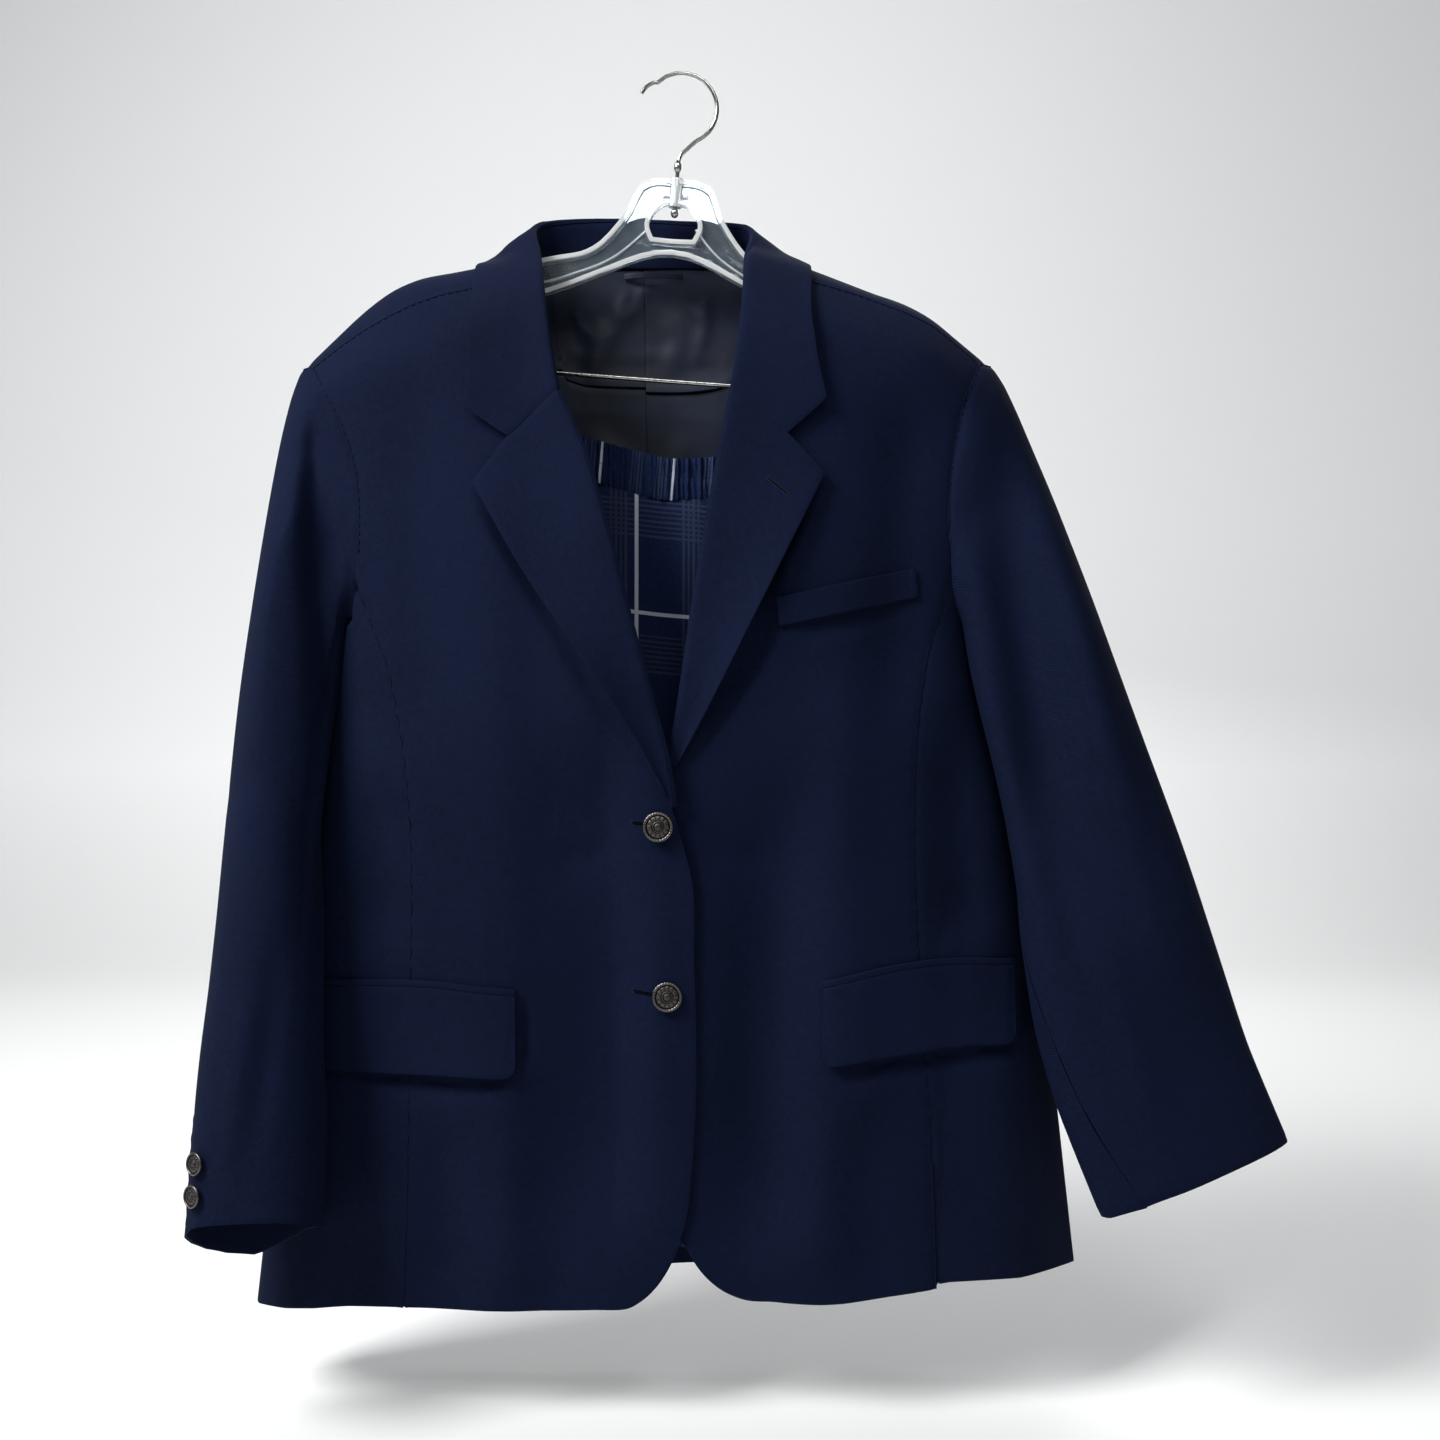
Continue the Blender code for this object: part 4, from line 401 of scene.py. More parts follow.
def split_once(points, blocks):
    """Every face split into one quad at each corner; returns the new points and one block."""
    count = len(points)
    keys, totals, ends = [], [], []
    for faces, parts in blocks:
        keys.append((parts[:, None] * count + faces).ravel())
        totals.append(np.repeat(face_normals(points, faces), faces.shape[1], axis=0))
    known, where = np.unique(np.concatenate(keys), return_inverse=True)
    unit = np.zeros((len(known), 3))
    np.add.at(unit, where, np.concatenate(totals))
    unit /= np.maximum(np.linalg.norm(unit, axis=1, keepdims=True), 1e-12)
    for faces, parts in blocks:
        start, end = faces, np.roll(faces, -1, axis=1)
        low, high = np.minimum(start, end), np.maximum(start, end)
        n_low = unit[np.searchsorted(known, parts[:, None] * count + low)]
        n_high = unit[np.searchsorted(known, parts[:, None] * count + high)]
        along = points[high] - points[low]
        lift = ((along * n_low).sum(-1, keepdims=True) * n_low
                - (along * n_high).sum(-1, keepdims=True) * n_high) / -8
        ends.append((low * count + high, np.broadcast_to(parts[:, None], low.shape), lift))
    edge_keys = np.concatenate([e[0].ravel() for e in ends])
    edge_parts = np.concatenate([e[1].ravel() for e in ends])
    lifts = np.concatenate([e[2].reshape(-1, 3) for e in ends])
    edges, edge_of = np.unique(edge_keys, return_inverse=True)
    _, first = np.unique(edge_of * (edge_parts.max() + 1) + edge_parts, return_index=True)
    middles = (points[edges // count] + points[edges % count]) / 2
    np.add.at(middles, edge_of[first], lifts[first])
    made_faces, made_parts, centres = [], [], []
    start_of, base = 0, count + len(edges)
    for faces, parts in blocks:
        total, size = faces.shape
        mids = edge_of[start_of:start_of + total * size].reshape(total, size)
        start_of += total * size
        sum_mids, sum_corners = middles[mids].sum(axis=1), points[faces].sum(axis=1)
        centres.append((4 * sum_mids - sum_corners) / 9 if size == 3
                       else (2 * sum_mids - sum_corners) / 4)
        own = base + np.arange(total)
        base += total
        for i in range(size):
            quad = (faces[:, i], count + mids[:, i], own, count + mids[:, i - 1])
            made_faces.append(np.stack(quad, axis=1))
            made_parts.append(parts)
    block = np.concatenate(made_faces), np.concatenate(made_parts)
    return np.concatenate((points, middles, *centres)), [block]


print("split once, it has", len(split_once(points, blocks)[0]))

# %% [markdown]
# Two walls that are sewn together stand a hair apart in the frame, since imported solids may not
# touch. The cloth's rims are let out by as much, as a seam allowance would close them. The
# sleeves' upper parts are smoothed too, with a push out after each push in, so that they keep
# their size.
# %% Rims and smoothing
SHEET_SHARE = 0.2                       # a part this large beside the largest is a face, not a rim


def grown(points, faces, parts, by):
    """Points with the wall's rims moved out by `by` millimetres, a number or one for each point."""
    corners = points[faces]
    normal = np.cross(corners[:, 2] - corners[:, 0], corners[:, 3] - corners[:, 1])
    areas = np.bincount(parts, np.linalg.norm(normal, axis=1))
    rim = areas[parts] < SHEET_SHARE * areas.max()
    out = np.zeros(points.shape)
    np.add.at(out, faces[rim].ravel(), np.repeat(normal[rim], 4, axis=0))
    out /= np.maximum(np.linalg.norm(out, axis=1, keepdims=True), 1e-9)
    return points + out * np.reshape(by, (-1, 1))


def rim_points(points, blocks):
    """The points on a wall's rims: those of its small parts."""
    rims = set()
    areas = np.zeros(max(parts.max() for _, parts in blocks) + 1)
    for faces, parts in blocks:
        np.add.at(areas, parts, np.linalg.norm(face_normals(points, faces), axis=1))
    for faces, parts in blocks:
        rims |= set(faces[areas[parts] < SHEET_SHARE * areas.max()].ravel().tolist())
    return sorted(rims)


RELAX_ROUNDS, PUSH_IN, PUSH_OUT = 12, 0.5, -0.52


def relaxed(points, blocks, chosen):
    """Chosen points inside the wall's faces, smoothed without shrinking."""
    pairs = [np.stack((faces, np.roll(faces, -1, axis=1)), axis=-1).reshape(-1, 2)
             for faces, _ in blocks]
    free = chosen(points)
    free[rim_points(points, blocks)] = 0
    pairs = np.concatenate(pairs)
    counts = np.maximum(np.bincount(pairs[:, 0], minlength=len(points)), 1)[:, None]
    for push in (PUSH_IN, PUSH_OUT) * RELAX_ROUNDS:
        mean = np.zeros(points.shape)
        np.add.at(mean, pairs[:, 0], points[pairs[:, 1]])
        points = points + (mean / counts - points) * push * free[:, None]
    return points


def refined(name, levels=2, grow=0.0, relax=None):
    """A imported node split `levels` times, its rims grown; returns its points and quads.
    `grow` is in millimetres, or a function that gives it for points; `relax` chooses points to
    smooth first."""
    points, blocks = read_node(name)
    if relax:
        points = relaxed(points, blocks, relax)
    for _ in range(levels):
        points, blocks = split_once(points, blocks)
    faces, parts = blocks[0]
    by = grow(points) if callable(grow) else grow
    return grown(points, faces, parts, by), faces


print("front_left splits into", len(refined("front_left")[1]), "quads")

# %% [markdown]
# ## Creases
# Cloth that hangs from few points falls in folds, and it keeps faint dents from its seams and
# from lying folded. A cloth simulation makes its own folds, not this garment's, so its main ones
# are listed one by one. Each is a soft trough, or a ridge where its depth is below zero, along a
# short path seen from the front (x, z). It fades out at both ends and over its width, which may
# differ to its left and right: a sharp side and a soft side make a fold that leans over. Troughs
# push the cloth in. The hidden sides get folds of the same kind.
# %% Creases of the sleeves: depth, width, path
SLEEVE_LEFT_FRONT = (
    (14.0, (7, 30), ((-242, -225), (-241, -270), (-239, -330), (-235, -400), (-229, -500))),
    (-3.0, 14, ((-262, -240), (-268, -340), (-274, -460), (-284, -590))),
    (2.6, 11, ((-287, -420), (-292, -505), (-297, -600), (-303, -660))),
    (-2.2, 10, ((-260, -590), (-268, -665), (-276, -740))),
    (2.0, 9, ((-246, -560), (-251, -640), (-262, -725))),
    (1.6, 9, ((-225, -212), (-238, -250), (-262, -282))),
    (1.8, 8, ((-262, -470), (-279, -492), (-300, -500))),
)
SLEEVE_LEFT_BACK = (
    (3.6, 13, ((-236, -250), (-247, -345), (-251, -440))),
    (2.4, 11, ((-280, -380), (-285, -480), (-296, -590))),
    (-2.2, 12, ((-262, -440), (-272, -560), (-283, -680))),
    (1.8, 9, ((-246, -600), (-262, -690), (-270, -760))),
)
SLEEVE_RIGHT_FRONT = (
    (12.0, (20, 18), ((210, -212), (217, -270), (225, -340), (233, -405), (241, -466),
                      (250, -560))),
    (-3.0, 13, ((196, -300), (203, -360), (212, -440), (222, -520))),
    (-6.0, 26, ((268, -300), (290, -400), (318, -520), (338, -640))),
    (2.6, 13, ((238, -520), (246, -572), (258, -625))),
    (-3.0, 15, ((242, -255), (256, -330), (272, -420), (292, -520))),
    (2.2, 12, ((268, -330), (286, -420), (308, -520), (330, -610))),
    (-2.0, 12, ((262, -560), (286, -640), (312, -715))),
    (1.8, 9, ((222, -205), (240, -232), (262, -280))),
    (1.6, 8, ((232, -452), (258, -476), (290, -484))),
)
SLEEVE_RIGHT_BACK = (
    (3.4, 14, ((222, -262), (240, -360), (256, -452))),
    (2.4, 12, ((270, -350), (292, -455), (318, -560))),
    (-2.4, 13, ((262, -480), (290, -590), (322, -700))),
    (1.8, 9, ((246, -570), (268, -650), (300, -730))),
)
print("sleeve creases", len(SLEEVE_LEFT_FRONT + SLEEVE_RIGHT_FRONT), "in front and",
      len(SLEEVE_LEFT_BACK + SLEEVE_RIGHT_BACK), "behind")

# %% Creases of the body and the lining
FRONT = (
    (4.5, 22, ((-176, -200), (-172, -300), (-166, -400), (-158, -470))),
    (-2.4, 20, ((-128, -250), (-120, -350), (-112, -440), (-106, -520))),
    (16.0, (44, 19), ((-60, -425), (-48, -500), (-42, -600), (-42, -720), (-50, -815))),
    (-3.0, 16, ((-18, -540), (-15, -620), (-18, -720))),
    (3.2, 20, ((-190, -470), (-196, -540), (-200, -600))),
    (3.4, 20, ((-150, -690), (-146, -760), (-150, -830))),
    (-2.4, 18, ((-112, -690), (-104, -770), (-104, -835))),
    (7.0, 24, ((154, -205), (150, -290), (144, -380), (138, -470))),
    (-2.6, 20, ((112, -390), (108, -480), (104, -560))),
    (12.0, (36, 26), ((72, -450), (66, -540), (62, -640), (60, -740), (62, -810))),
    (-2.6, 20, ((26, -520), (22, -610), (22, -720))),
    (3.4, 20, ((122, -680), (124, -760), (128, -835))),
    (-2.4, 18, ((88, -680), (88, -760), (86, -820))),
    (7.0, 20, ((182, -420), (184, -500), (188, -560), (196, -600))),
    (1.8, 9, ((-36, -520), (-58, -535), (-88, -530))),
    (1.6, 9, ((12, -516), (38, -534), (66, -530))),
)
BACK = (
    (2.8, 22, ((-168, -210), (-160, -330), (-150, -450), (-146, -560))),
    (-2.0, 19, ((-112, -260), (-104, -380), (-98, -520))),
    (2.2, 17, ((-60, -420), (-54, -540), (-52, -680))),
    (3.6, 18, ((-150, -620), (-142, -720), (-140, -825))),
    (2.6, 21, ((150, -215), (140, -320), (134, -450), (128, -570))),
    (-2.0, 18, ((96, -250), (90, -370), (84, -500))),
    (4.0, 16, ((46, -440), (42, -560), (44, -700))),
    (3.2, 17, ((128, -610), (124, -720), (126, -820))),
    (1.6, 10, ((-120, -172), (-60, -186), (10, -188), (80, -176))),
)
LINING = (
    (-2.6, 8, ((-60, -150), (-56, -178), (-66, -206))),
    (-2.2, 9, ((-10, -148), (0, -176), (-10, -206))),
    (-1.5, 5, ((-36, -138), (-42, -160), (-56, -186))),
    (-1.4, 4, ((-22, -136), (-30, -152), (-46, -168))),
    (-1.6, 5, ((14, -140), (18, -166), (8, -198))),
    (-1.4, 4, ((-76, -150), (-70, -166), (-56, -180))),
    (-1.3, 4, ((2, -138), (8, -152), (24, -166))),
    (-0.8, 1.8, ((-100, -184), (-25, -186), (50, -191))),
    (1.0, 2.0, ((-42, -138), (-18, -137), (4, -138))),
    (-1.8, 9, ((-72, -238), (-40, -262), (-30, -300))),
    (-1.6, 10, ((10, -236), (-6, -270), (-12, -310))),
)
# grooves in the fronts along the lapels' outer edges and round the pocket flaps
GROOVES = (
    (6.0, 6.5, ((-131, -287), (-116, -314), (-103, -336), (-77, -378), (-38, -450), (-6, -496))),
    (8.5, 7, ((97, -284), (77, -314), (62, -340), (56, -391), (29, -430), (3, -472))),
    (5.0, 6.0, ((-234, -675), (-180, -679), (-125, -680), (-100, -668))),
    (4.0, 5, ((-100, -620), (-99, -650), (-102, -672))),
    (5.0, 6.0, ((93, -677), (128, -667), (212, -659), (227, -648))),
    (4.0, 5, ((228, -608), (229, -635), (226, -655))),
    (4.0, 4, ((64, -385), (110, -378), (154, -366))),
)
print("body creases", len(FRONT), "in front,", len(BACK), "behind and", len(LINING), "inside")

# %% Push the cloth in
FADE = 0.3                              # the share of a crease over which each end fades
PATH_STEPS, PATH_SOFT = 48, 13          # points along a path, and how many are averaged
TURN = 24.0                             # over which a sleeve's front face turns into its back


def crease_path(path):
    """A smooth dense path through a crease's few points."""
    path = np.array(path, float)
    place = np.linspace(0, len(path) - 1, PATH_STEPS)
    knots = np.arange(len(path))
    line = np.stack([np.interp(place, knots, path[:, i]) for i in (0, 1)], axis=1)
    kernel = np.hanning(PATH_SOFT) / np.hanning(PATH_SOFT).sum()
    half = PATH_SOFT // 2
    padded = np.pad(line, ((half, half), (0, 0)), mode="reflect", reflect_type="odd")
    return np.stack([np.convolve(column, kernel, mode="valid") for column in padded.T], axis=1)


def crease_depth(points, creases):
    """How far the creases push each point in."""
    depth = np.zeros(len(points))
    flat = points[:, (0, 2)]
    for deep, wide, path in creases:
        line = crease_path(path)
        step = line[1:] - line[:-1]
        best, place, side = np.full(len(flat), np.inf), np.zeros(len(flat)), np.zeros(len(flat))
        for index, (start, way) in enumerate(zip(line, step)):
            share = np.clip((flat - start) @ way / (way @ way), 0, 1)
            gap = flat - start - share[:, None] * way
            square = (gap ** 2).sum(axis=1)
            near = square < best
            best[near] = square[near]
            place[near] = (index + share[near]) / len(step)
            side[near] = gap[near, 0]
        taper = np.clip(np.minimum(place, 1 - place) / FADE, 0, 1)
        left, right = wide if isinstance(wide, tuple) else (wide, wide)
        width = np.where(side < 0, left, right)
        depth += deep * taper * taper * (3 - 2 * taper) * np.exp(-best / width ** 2)
    return depth


def creased(points, front=(), back=(), middle=None):
    """Points pushed in by the creases of the front and of the back.
    Where a piece has both faces, `middle` gives the depth between them at points."""
    facing, behind = 1, 1
    if middle:
        facing = np.clip((middle(points) - points[:, 1]) / TURN + 0.5, 0, 1)
        behind = 1 - facing
    moved = points.copy()
    if front:
        moved[:, 1] += crease_depth(points, front) * facing
    if back:
        moved[:, 1] -= crease_depth(points, back) * behind
    return moved


print("deepest fold", round(crease_depth(points, FRONT).max(), 1), "mm")

# %% [markdown]
# ## Making the pieces
# A sewn edge is folded, so it is round and never razor-sharp: each wall's rims are bevelled. The
# piece then gets its mesh, its cloth directions, smooth shading and its material, and its place
# in the frame: the body that it rides on and the node that it replaces.
# %% A finished piece
ROOT = "root"
SMOOTH = math.radians(62)               # a sharper edge shows as one after shading


def finished(made, replaced=()):
    """Gives a piece its body and the nodes that it replaces."""
    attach(made, ROOT)
    if replaced:
        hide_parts(*replaced)
    return made


def applied(made):
    """Turns an object's modifiers into a plain mesh."""
    bpy.context.view_layer.update()
    graph = bpy.context.evaluated_depsgraph_get()
    done = bpy.data.meshes.new_from_object(made.evaluated_get(graph))
    made.modifiers.clear()
    made.data = done
    done.name = made.name
    return done


def linked(name, points, edges=(), faces=()):
    """A new object in the scene, from points in millimetres."""
    mesh = bpy.data.meshes.new(name)
    mesh.from_pydata((np.asarray(points) * MM).tolist(), edges, faces)
    made = bpy.data.objects.new(name, mesh)
    bpy.context.scene.collection.objects.link(made)
    return made


def round_rims(made, width):
    """Bevels a wall's rims, as folded or bound cloth edges are round."""
    bevel = made.modifiers.new("rims", "BEVEL")
    bevel.limit_method = "ANGLE"
    bevel.angle_limit = SHARP
    bevel.width = width * MM
    bevel.segments = 2
    applied(made)


def make_piece(name, points, faces, material, replaced=(), rim=0.0, weave=None):
    """A finished piece from points in millimetres; `weave` gives the cloth directions of points."""
    made = linked(name, points, faces=[tuple(face) for face in faces])
    if rim:
        round_rims(made, rim)
    mesh = made.data
    if weave:
        places = np.empty(len(mesh.vertices) * 3)
        mesh.vertices.foreach_get("co", places)
        directions = weave(places.reshape(-1, 3) / MM).astype(np.float32)
        attribute = mesh.attributes.new("weave", "FLOAT2", "POINT")
        attribute.data.foreach_set("vector", directions.ravel())
    mesh.shade_smooth()
    mesh.set_sharp_from_angle(angle=SMOOTH)
    mesh.materials.clear()
    mesh.materials.append(material)
    return finished(made, replaced)


print("pieces ride on", ROOT)


# %% Cloth directions
def side_weave(side):
    """Cloth directions of a body panel: across round the body from its front edge, and up."""
    def directions(points):
        across = side * (np.abs(points[:, 0]) + points[:, 1])
        return np.stack((across, points[:, 2]), axis=1)
    return directions


def turned_weave(angle):
    """Cloth directions of a piece that lies in the front, turned by an angle in degrees."""
    cosine, sine = math.cos(math.radians(angle)), math.sin(math.radians(angle))

    def directions(points):
        x, z = points[:, 0], points[:, 2]
        return np.stack((x * cosine + z * sine, z * cosine - x * sine), axis=1)
    return directions


print("a point 100 mm up a front lies at", side_weave(-1)(np.array([[-60.0, -50.0, 100.0]])))

# %% [markdown]
# ## Seams
# Stitches pull the cloth in, so each seam lies in a shallow groove with a soft swell beside it.
# A painted line would vanish in side light. Here the rims that lie close to another panel's rim
# are found, and each panel is drawn in near them, towards the middle of the body or the sleeve.
# %% Find the seams
SEAMED = [word + side for word in ("front_", "side_front_", "back_", "sleeve_top_", "sleeve_under_")
          for side in ("left", "right")]
SEAM_REACH, SEAM_DEEP, SEAM_WIDE = 3.2, 1.0, 2.6


def nearest(tree, points):
    """The distance from each point to a tree of points."""
    return np.array([tree.find(point)[2] for point in points])


def point_tree(points):
    """A search tree of points."""
    tree = KDTree(len(points))
    for index, point in enumerate(points):
        tree.insert(point, index)
    tree.balance()
    return tree


seam_rims = {}
for name in SEAMED:
    points, blocks = read_node(name)
    for _ in range(2):
        points, blocks = split_once(points, blocks)
    seam_rims[name] = points[rim_points(points, blocks)]
rim_trees = {name: point_tree(points) for name, points in seam_rims.items()}
seam_trees = {}
for name, points in seam_rims.items():
    gap = np.min([nearest(tree, points) for other, tree in rim_trees.items() if other != name],
                 axis=0)
    seam_trees[name] = point_tree(points[gap < SEAM_REACH])
print("seamed panels", len(seam_trees))

# %% Draw the cloth in
CUFF_END, CUFF_FADE = -735.0, 20.0      # where the right sleeve's seams end, at its lifted hem
# the middle line of the body and of each sleeve: its upper and its lower end
MIDDLES = {"body": ((-15, -14, -260), (-15, -24, -830)),
           "left": ((-258, -8, -260), (-266, -86, -772)),
           "right": ((214, -12, -260), (335, -60, -739))}


def drawn_in(name, points, faces):
    """Points drawn in along the seams of the named panel, as its stitches pull the cloth in."""
    face_normal = face_normals(points, faces)
    normal = np.zeros(points.shape)
    for corner in range(faces.shape[1]):
        np.add.at(normal, faces[:, corner], face_normal)
    normal /= np.linalg.norm(normal, axis=1, keepdims=True) + 1e-9
    kind = name.split("_")[-1] if name.startswith("sleeve") else "body"
    top, low = np.array(MIDDLES[kind], float)
    down = np.clip((top[2] - points[:, 2]) / (top[2] - low[2]), 0, 1)[:, None]
    outward = ((points - top - down * (low - top)) * normal).sum(axis=1, keepdims=True)
    depth = SEAM_DEEP * np.exp(-(nearest(seam_trees[name], points) / SEAM_WIDE) ** 2)
    if kind == "right":
        depth *= np.clip((points[:, 2] - CUFF_END) / CUFF_FADE, 0, 1)
    return points - normal * np.sign(outward) * depth[:, None]


print("seams are", SEAM_DEEP, "mm deep")

# %% [markdown]
# ## The blazer's body
# Fronts, side fronts, backs, lapels, collar, flaps, jets and the breast welt are one cloth. Each
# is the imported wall, split, drawn in at its seams and creased. The twill of a lapel or a welt
# lies at another angle, as those pieces are cut and turned apart from the fronts.
# %% Body pieces
SEAM_GROW = 0.3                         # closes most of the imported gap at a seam
LAPEL_TURN, WELT_TURN = 18, 12          # angles of their twill, in degrees


def cloth(name, levels=2, front=(), back=(), middle=None, weave=None, rim=0.45, material=wool,
          slot="wool", shift=None, grow=SEAM_GROW, relax=None):
    """A packed cloth node as a finished piece that replaces it."""
    points, faces = refined(name, levels, grow, relax)
    if name in seam_trees:
        points = drawn_in(name, points, faces)
    points = creased(points, front, back, middle)
    if shift is not None:
        points = shift(points)
    return make_piece(name + "_cloth", points, faces, material, (name,), rim, weave)


pieces = {}
for side, word in ((-1, "left"), (1, "right")):
    for name in ("front_", "side_front_"):
        pieces[name + word] = cloth(name + word, 3, front=FRONT + GROOVES, weave=side_weave(side))
    pieces["back_" + word] = cloth("back_" + word, back=BACK, weave=side_weave(side))
    pieces["lapel_" + word] = cloth("lapel_" + word, front=FRONT,
                                    weave=turned_weave(side * LAPEL_TURN))
    for name, levels in (("pocket_flap_", 2), ("pocket_jet_", 1)):
        pieces[name + word] = cloth(name + word, levels, front=FRONT, weave=turned_weave(0))
pieces["breast_welt"] = cloth("breast_welt", front=FRONT, weave=turned_weave(WELT_TURN))
for name in ("collar", "collar_stand"):
    pieces[name] = cloth(name, weave=turned_weave(0))
print("body pieces", len(pieces))

# %% [markdown]
# ## Sleeves
# A two-piece sleeve hangs from its armhole, forward of the body. Its front and back faces are
# creased apart, because they fold apart. Below the armhole its inner edge leans on the body, and
# the left hem is lifted at its inner side, where the sleeve swings in over the pocket.
# %% Rims of the sleeves
ARMHOLE_GROW, ARMHOLE_END, CUFF_LEVEL = 1.1, -372.0, -670.0
FOOT_LEVEL, FOOT_FADE = -728.0, 14.0    # where the right sleeve's rims grow most, near its hem
RELAX_LEVEL, LEVEL_FADE = -620.0, 20.0


def at_armhole(points):
    """Rims at the armhole grow more than those at other seams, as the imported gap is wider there."""
    level, right = points[:, 2], points[:, 0] > 0
    high = np.clip((level - ARMHOLE_END) / LEVEL_FADE, 0, 1)
    low = np.clip((CUFF_LEVEL - level) / LEVEL_FADE, 0, 1) * right
    foot = np.clip((FOOT_LEVEL - level) / FOOT_FADE, 0, 1) * right
    return SEAM_GROW + (ARMHOLE_GROW - SEAM_GROW) * (high + low) + foot


def upper_arm(points):
    """The part of a sleeve that hangs in smooth folds: 1 for its points, fading out below."""
    return np.clip((points[:, 2] - RELAX_LEVEL) / (3 * LEVEL_FADE), 0, 1)


print("rims grow by", SEAM_GROW, "to", ARMHOLE_GROW + 1, "mm")

# %% Lean the sleeves on the body
# for each side: the level, half length and size of a sleeve's move to the body, where the inner
# edge stands at that level, how far it goes out with each millimetre of height, and its reach
CLOSER = {-1: (-432.0, 74.0, 5.5, -231.0, 0.0, 30.0), 1: (-370.0, 96.0, 4.2, 195.5, -0.06, 34.0)}
HEM_LIFT, LIFT_LEVEL, LIFT_LENGTH = 15.0, -740.0, 45.0      # of the left hem, at its inner side
LIFT_X, LIFT_WIDTH = -276.0, 34.0
# the right sleeve's front seam at its hem: its place, the move that closes it, and its reach
FOOT_X, FOOT_MOVE, FOOT_WIDTH, FOOT_START, FOOT_LENGTH = 309.0, 1.8, 22.0, -734.0, 12.0


def closer(side, under):
    """Moves a sleeve's inner edge to the body, which it touches below the armhole."""
    level, length, by, inner, lean, reach = CLOSER[side]

    def shift(points):
        moved = points.copy()
        near = np.exp(-((points[:, 2] - level) / length) ** 4)
        from_edge = np.abs(points[:, 0] - inner - lean * (points[:, 2] - level))
        moved[:, 0] -= side * by * near * np.clip(1 - from_edge / reach, 0, 1)
        if side < 0:
            at_hem = np.clip((LIFT_LEVEL - points[:, 2]) / LIFT_LENGTH, 0, 1) ** 1.5
            inner_side = np.clip((points[:, 0] - LIFT_X) / LIFT_WIDTH, 0, 1)
            moved[:, 2] += HEM_LIFT * at_hem * inner_side
        else:
            at_hem = np.clip((FOOT_START - points[:, 2]) / FOOT_LENGTH, 0, 1)
            near = np.clip(1 - np.abs(points[:, 0] - FOOT_X) / FOOT_WIDTH, 0, 1)
            moved[:, 0] += (FOOT_MOVE if under else -FOOT_MOVE) * at_hem * near
        return moved
    return shift


print("sleeves lean in by", [row[2] for row in CLOSER.values()], "mm")

# %% Sleeve pieces
# for each sleeve its creases, and the depth of its middle at MIDDLE_LEVEL and how it leans below
SLEEVE_TABLES = {
    "left": (SLEEVE_LEFT_FRONT, SLEEVE_LEFT_BACK, (-4.0, -0.09)),
    "right": (SLEEVE_RIGHT_FRONT, SLEEVE_RIGHT_BACK, (-6.0, -0.05)),
}
MIDDLE_LEVEL = -200.0


def middle_of(depth, lean):
    """A function that gives the depth between a sleeve's front and back faces at points."""
    return lambda points: depth - lean * (points[:, 2] - MIDDLE_LEVEL)


for side, word in ((-1, "left"), (1, "right")):
    front, back, middle_line = SLEEVE_TABLES[word]
    for name in ("sleeve_top_", "sleeve_under_"):
        pieces[name + word] = cloth(
            name + word, 3, front=front, back=back, middle=middle_of(*middle_line),
            weave=side_weave(side), shift=closer(side, "under" in name), grow=at_armhole,
            relax=upper_arm)
print("sleeves done")

# %% [markdown]
# ## Lining
# The lining is slippery and cut with ease, so it hangs in small soft folds. Its upper part is
# sewn to the neck and hangs free at its low edge, which casts a thin shadow on the lower part.
# %% Lining pieces
TOP_LEVEL, TOP_LENGTH, TOP_LIFT = -156.0, 28.0, 7.0         # the upper lining reaches up there
LOW_LEVEL, LOW_LENGTH, LOW_SWING = -186.0, 26.0, 2.6        # and stands forward there


def hanging(points):
    """The upper lining reaches up behind the hanger, and its low edge hangs over the lower one."""
    moved = points.copy()
    moved[:, 2] += TOP_LIFT * np.clip((points[:, 2] - TOP_LEVEL) / TOP_LENGTH, 0, 1) ** 2
    moved[:, 1] -= LOW_SWING * np.clip((LOW_LEVEL - points[:, 2]) / LOW_LENGTH, 0, 1) ** 2
    return moved


inside = dict(weave=turned_weave(0), rim=0.25, material=lining, slot="lining")
for word in ("left", "right"):
    for name, shift in (("lining_upper_", hanging), ("lining_lower_", None)):
        pieces[name + word] = cloth(name + word, 3, front=LINING, shift=shift, **inside)
pieces["hanger_loop"] = cloth("hanger_loop", **inside)
print("lining done")

# %% [markdown]
# ## Skirt
# The skirt's band holds a flat elastic, stitched through along its middle, and the cloth gathers
# on it above and below that row. A wave with an uneven pitch gives such gathers, and it turns
# flat at the stitches. The skirt below it hangs plain, and both carry the check in place.
# %% Cloth directions of the skirt and its band
SKIRT_WHITE_X, SKIRT_WHITE_Z, SKIRT_SLOPE = -28.5, -369.6, -0.105
# the band is cut where no line of the check runs along it, BAND_PLAIN up the repeat; its cloth
# is BAND_GATHER times as long as the band, and leans with the gathers
BAND_WHITE_X, BAND_GATHER, BAND_LEAN, BAND_PLAIN = -53.0, 1.5, 0.09, 26.0
BAND_LEVEL, BAND_LOW, BAND_HEIGHT = -270.0, -262.0, 0.5


def skirt_weave(points):
    """Cloth directions of the skirt, from its white lines."""
    across = points[:, 0] - SKIRT_WHITE_X
    along = points[:, 2] - SKIRT_WHITE_Z - SKIRT_SLOPE * across
    return np.stack((across, along), axis=1)


def band_weave(points):
    """Cloth directions of the gathered waistband: its cloth is fuller than its length."""
    leaning = points[:, 0] - BAND_WHITE_X - BAND_LEAN * (points[:, 2] - BAND_LEVEL)
    along = BAND_PLAIN + (points[:, 2] - BAND_LOW) * BAND_HEIGHT
    return np.stack((leaning * BAND_GATHER, along), axis=1)


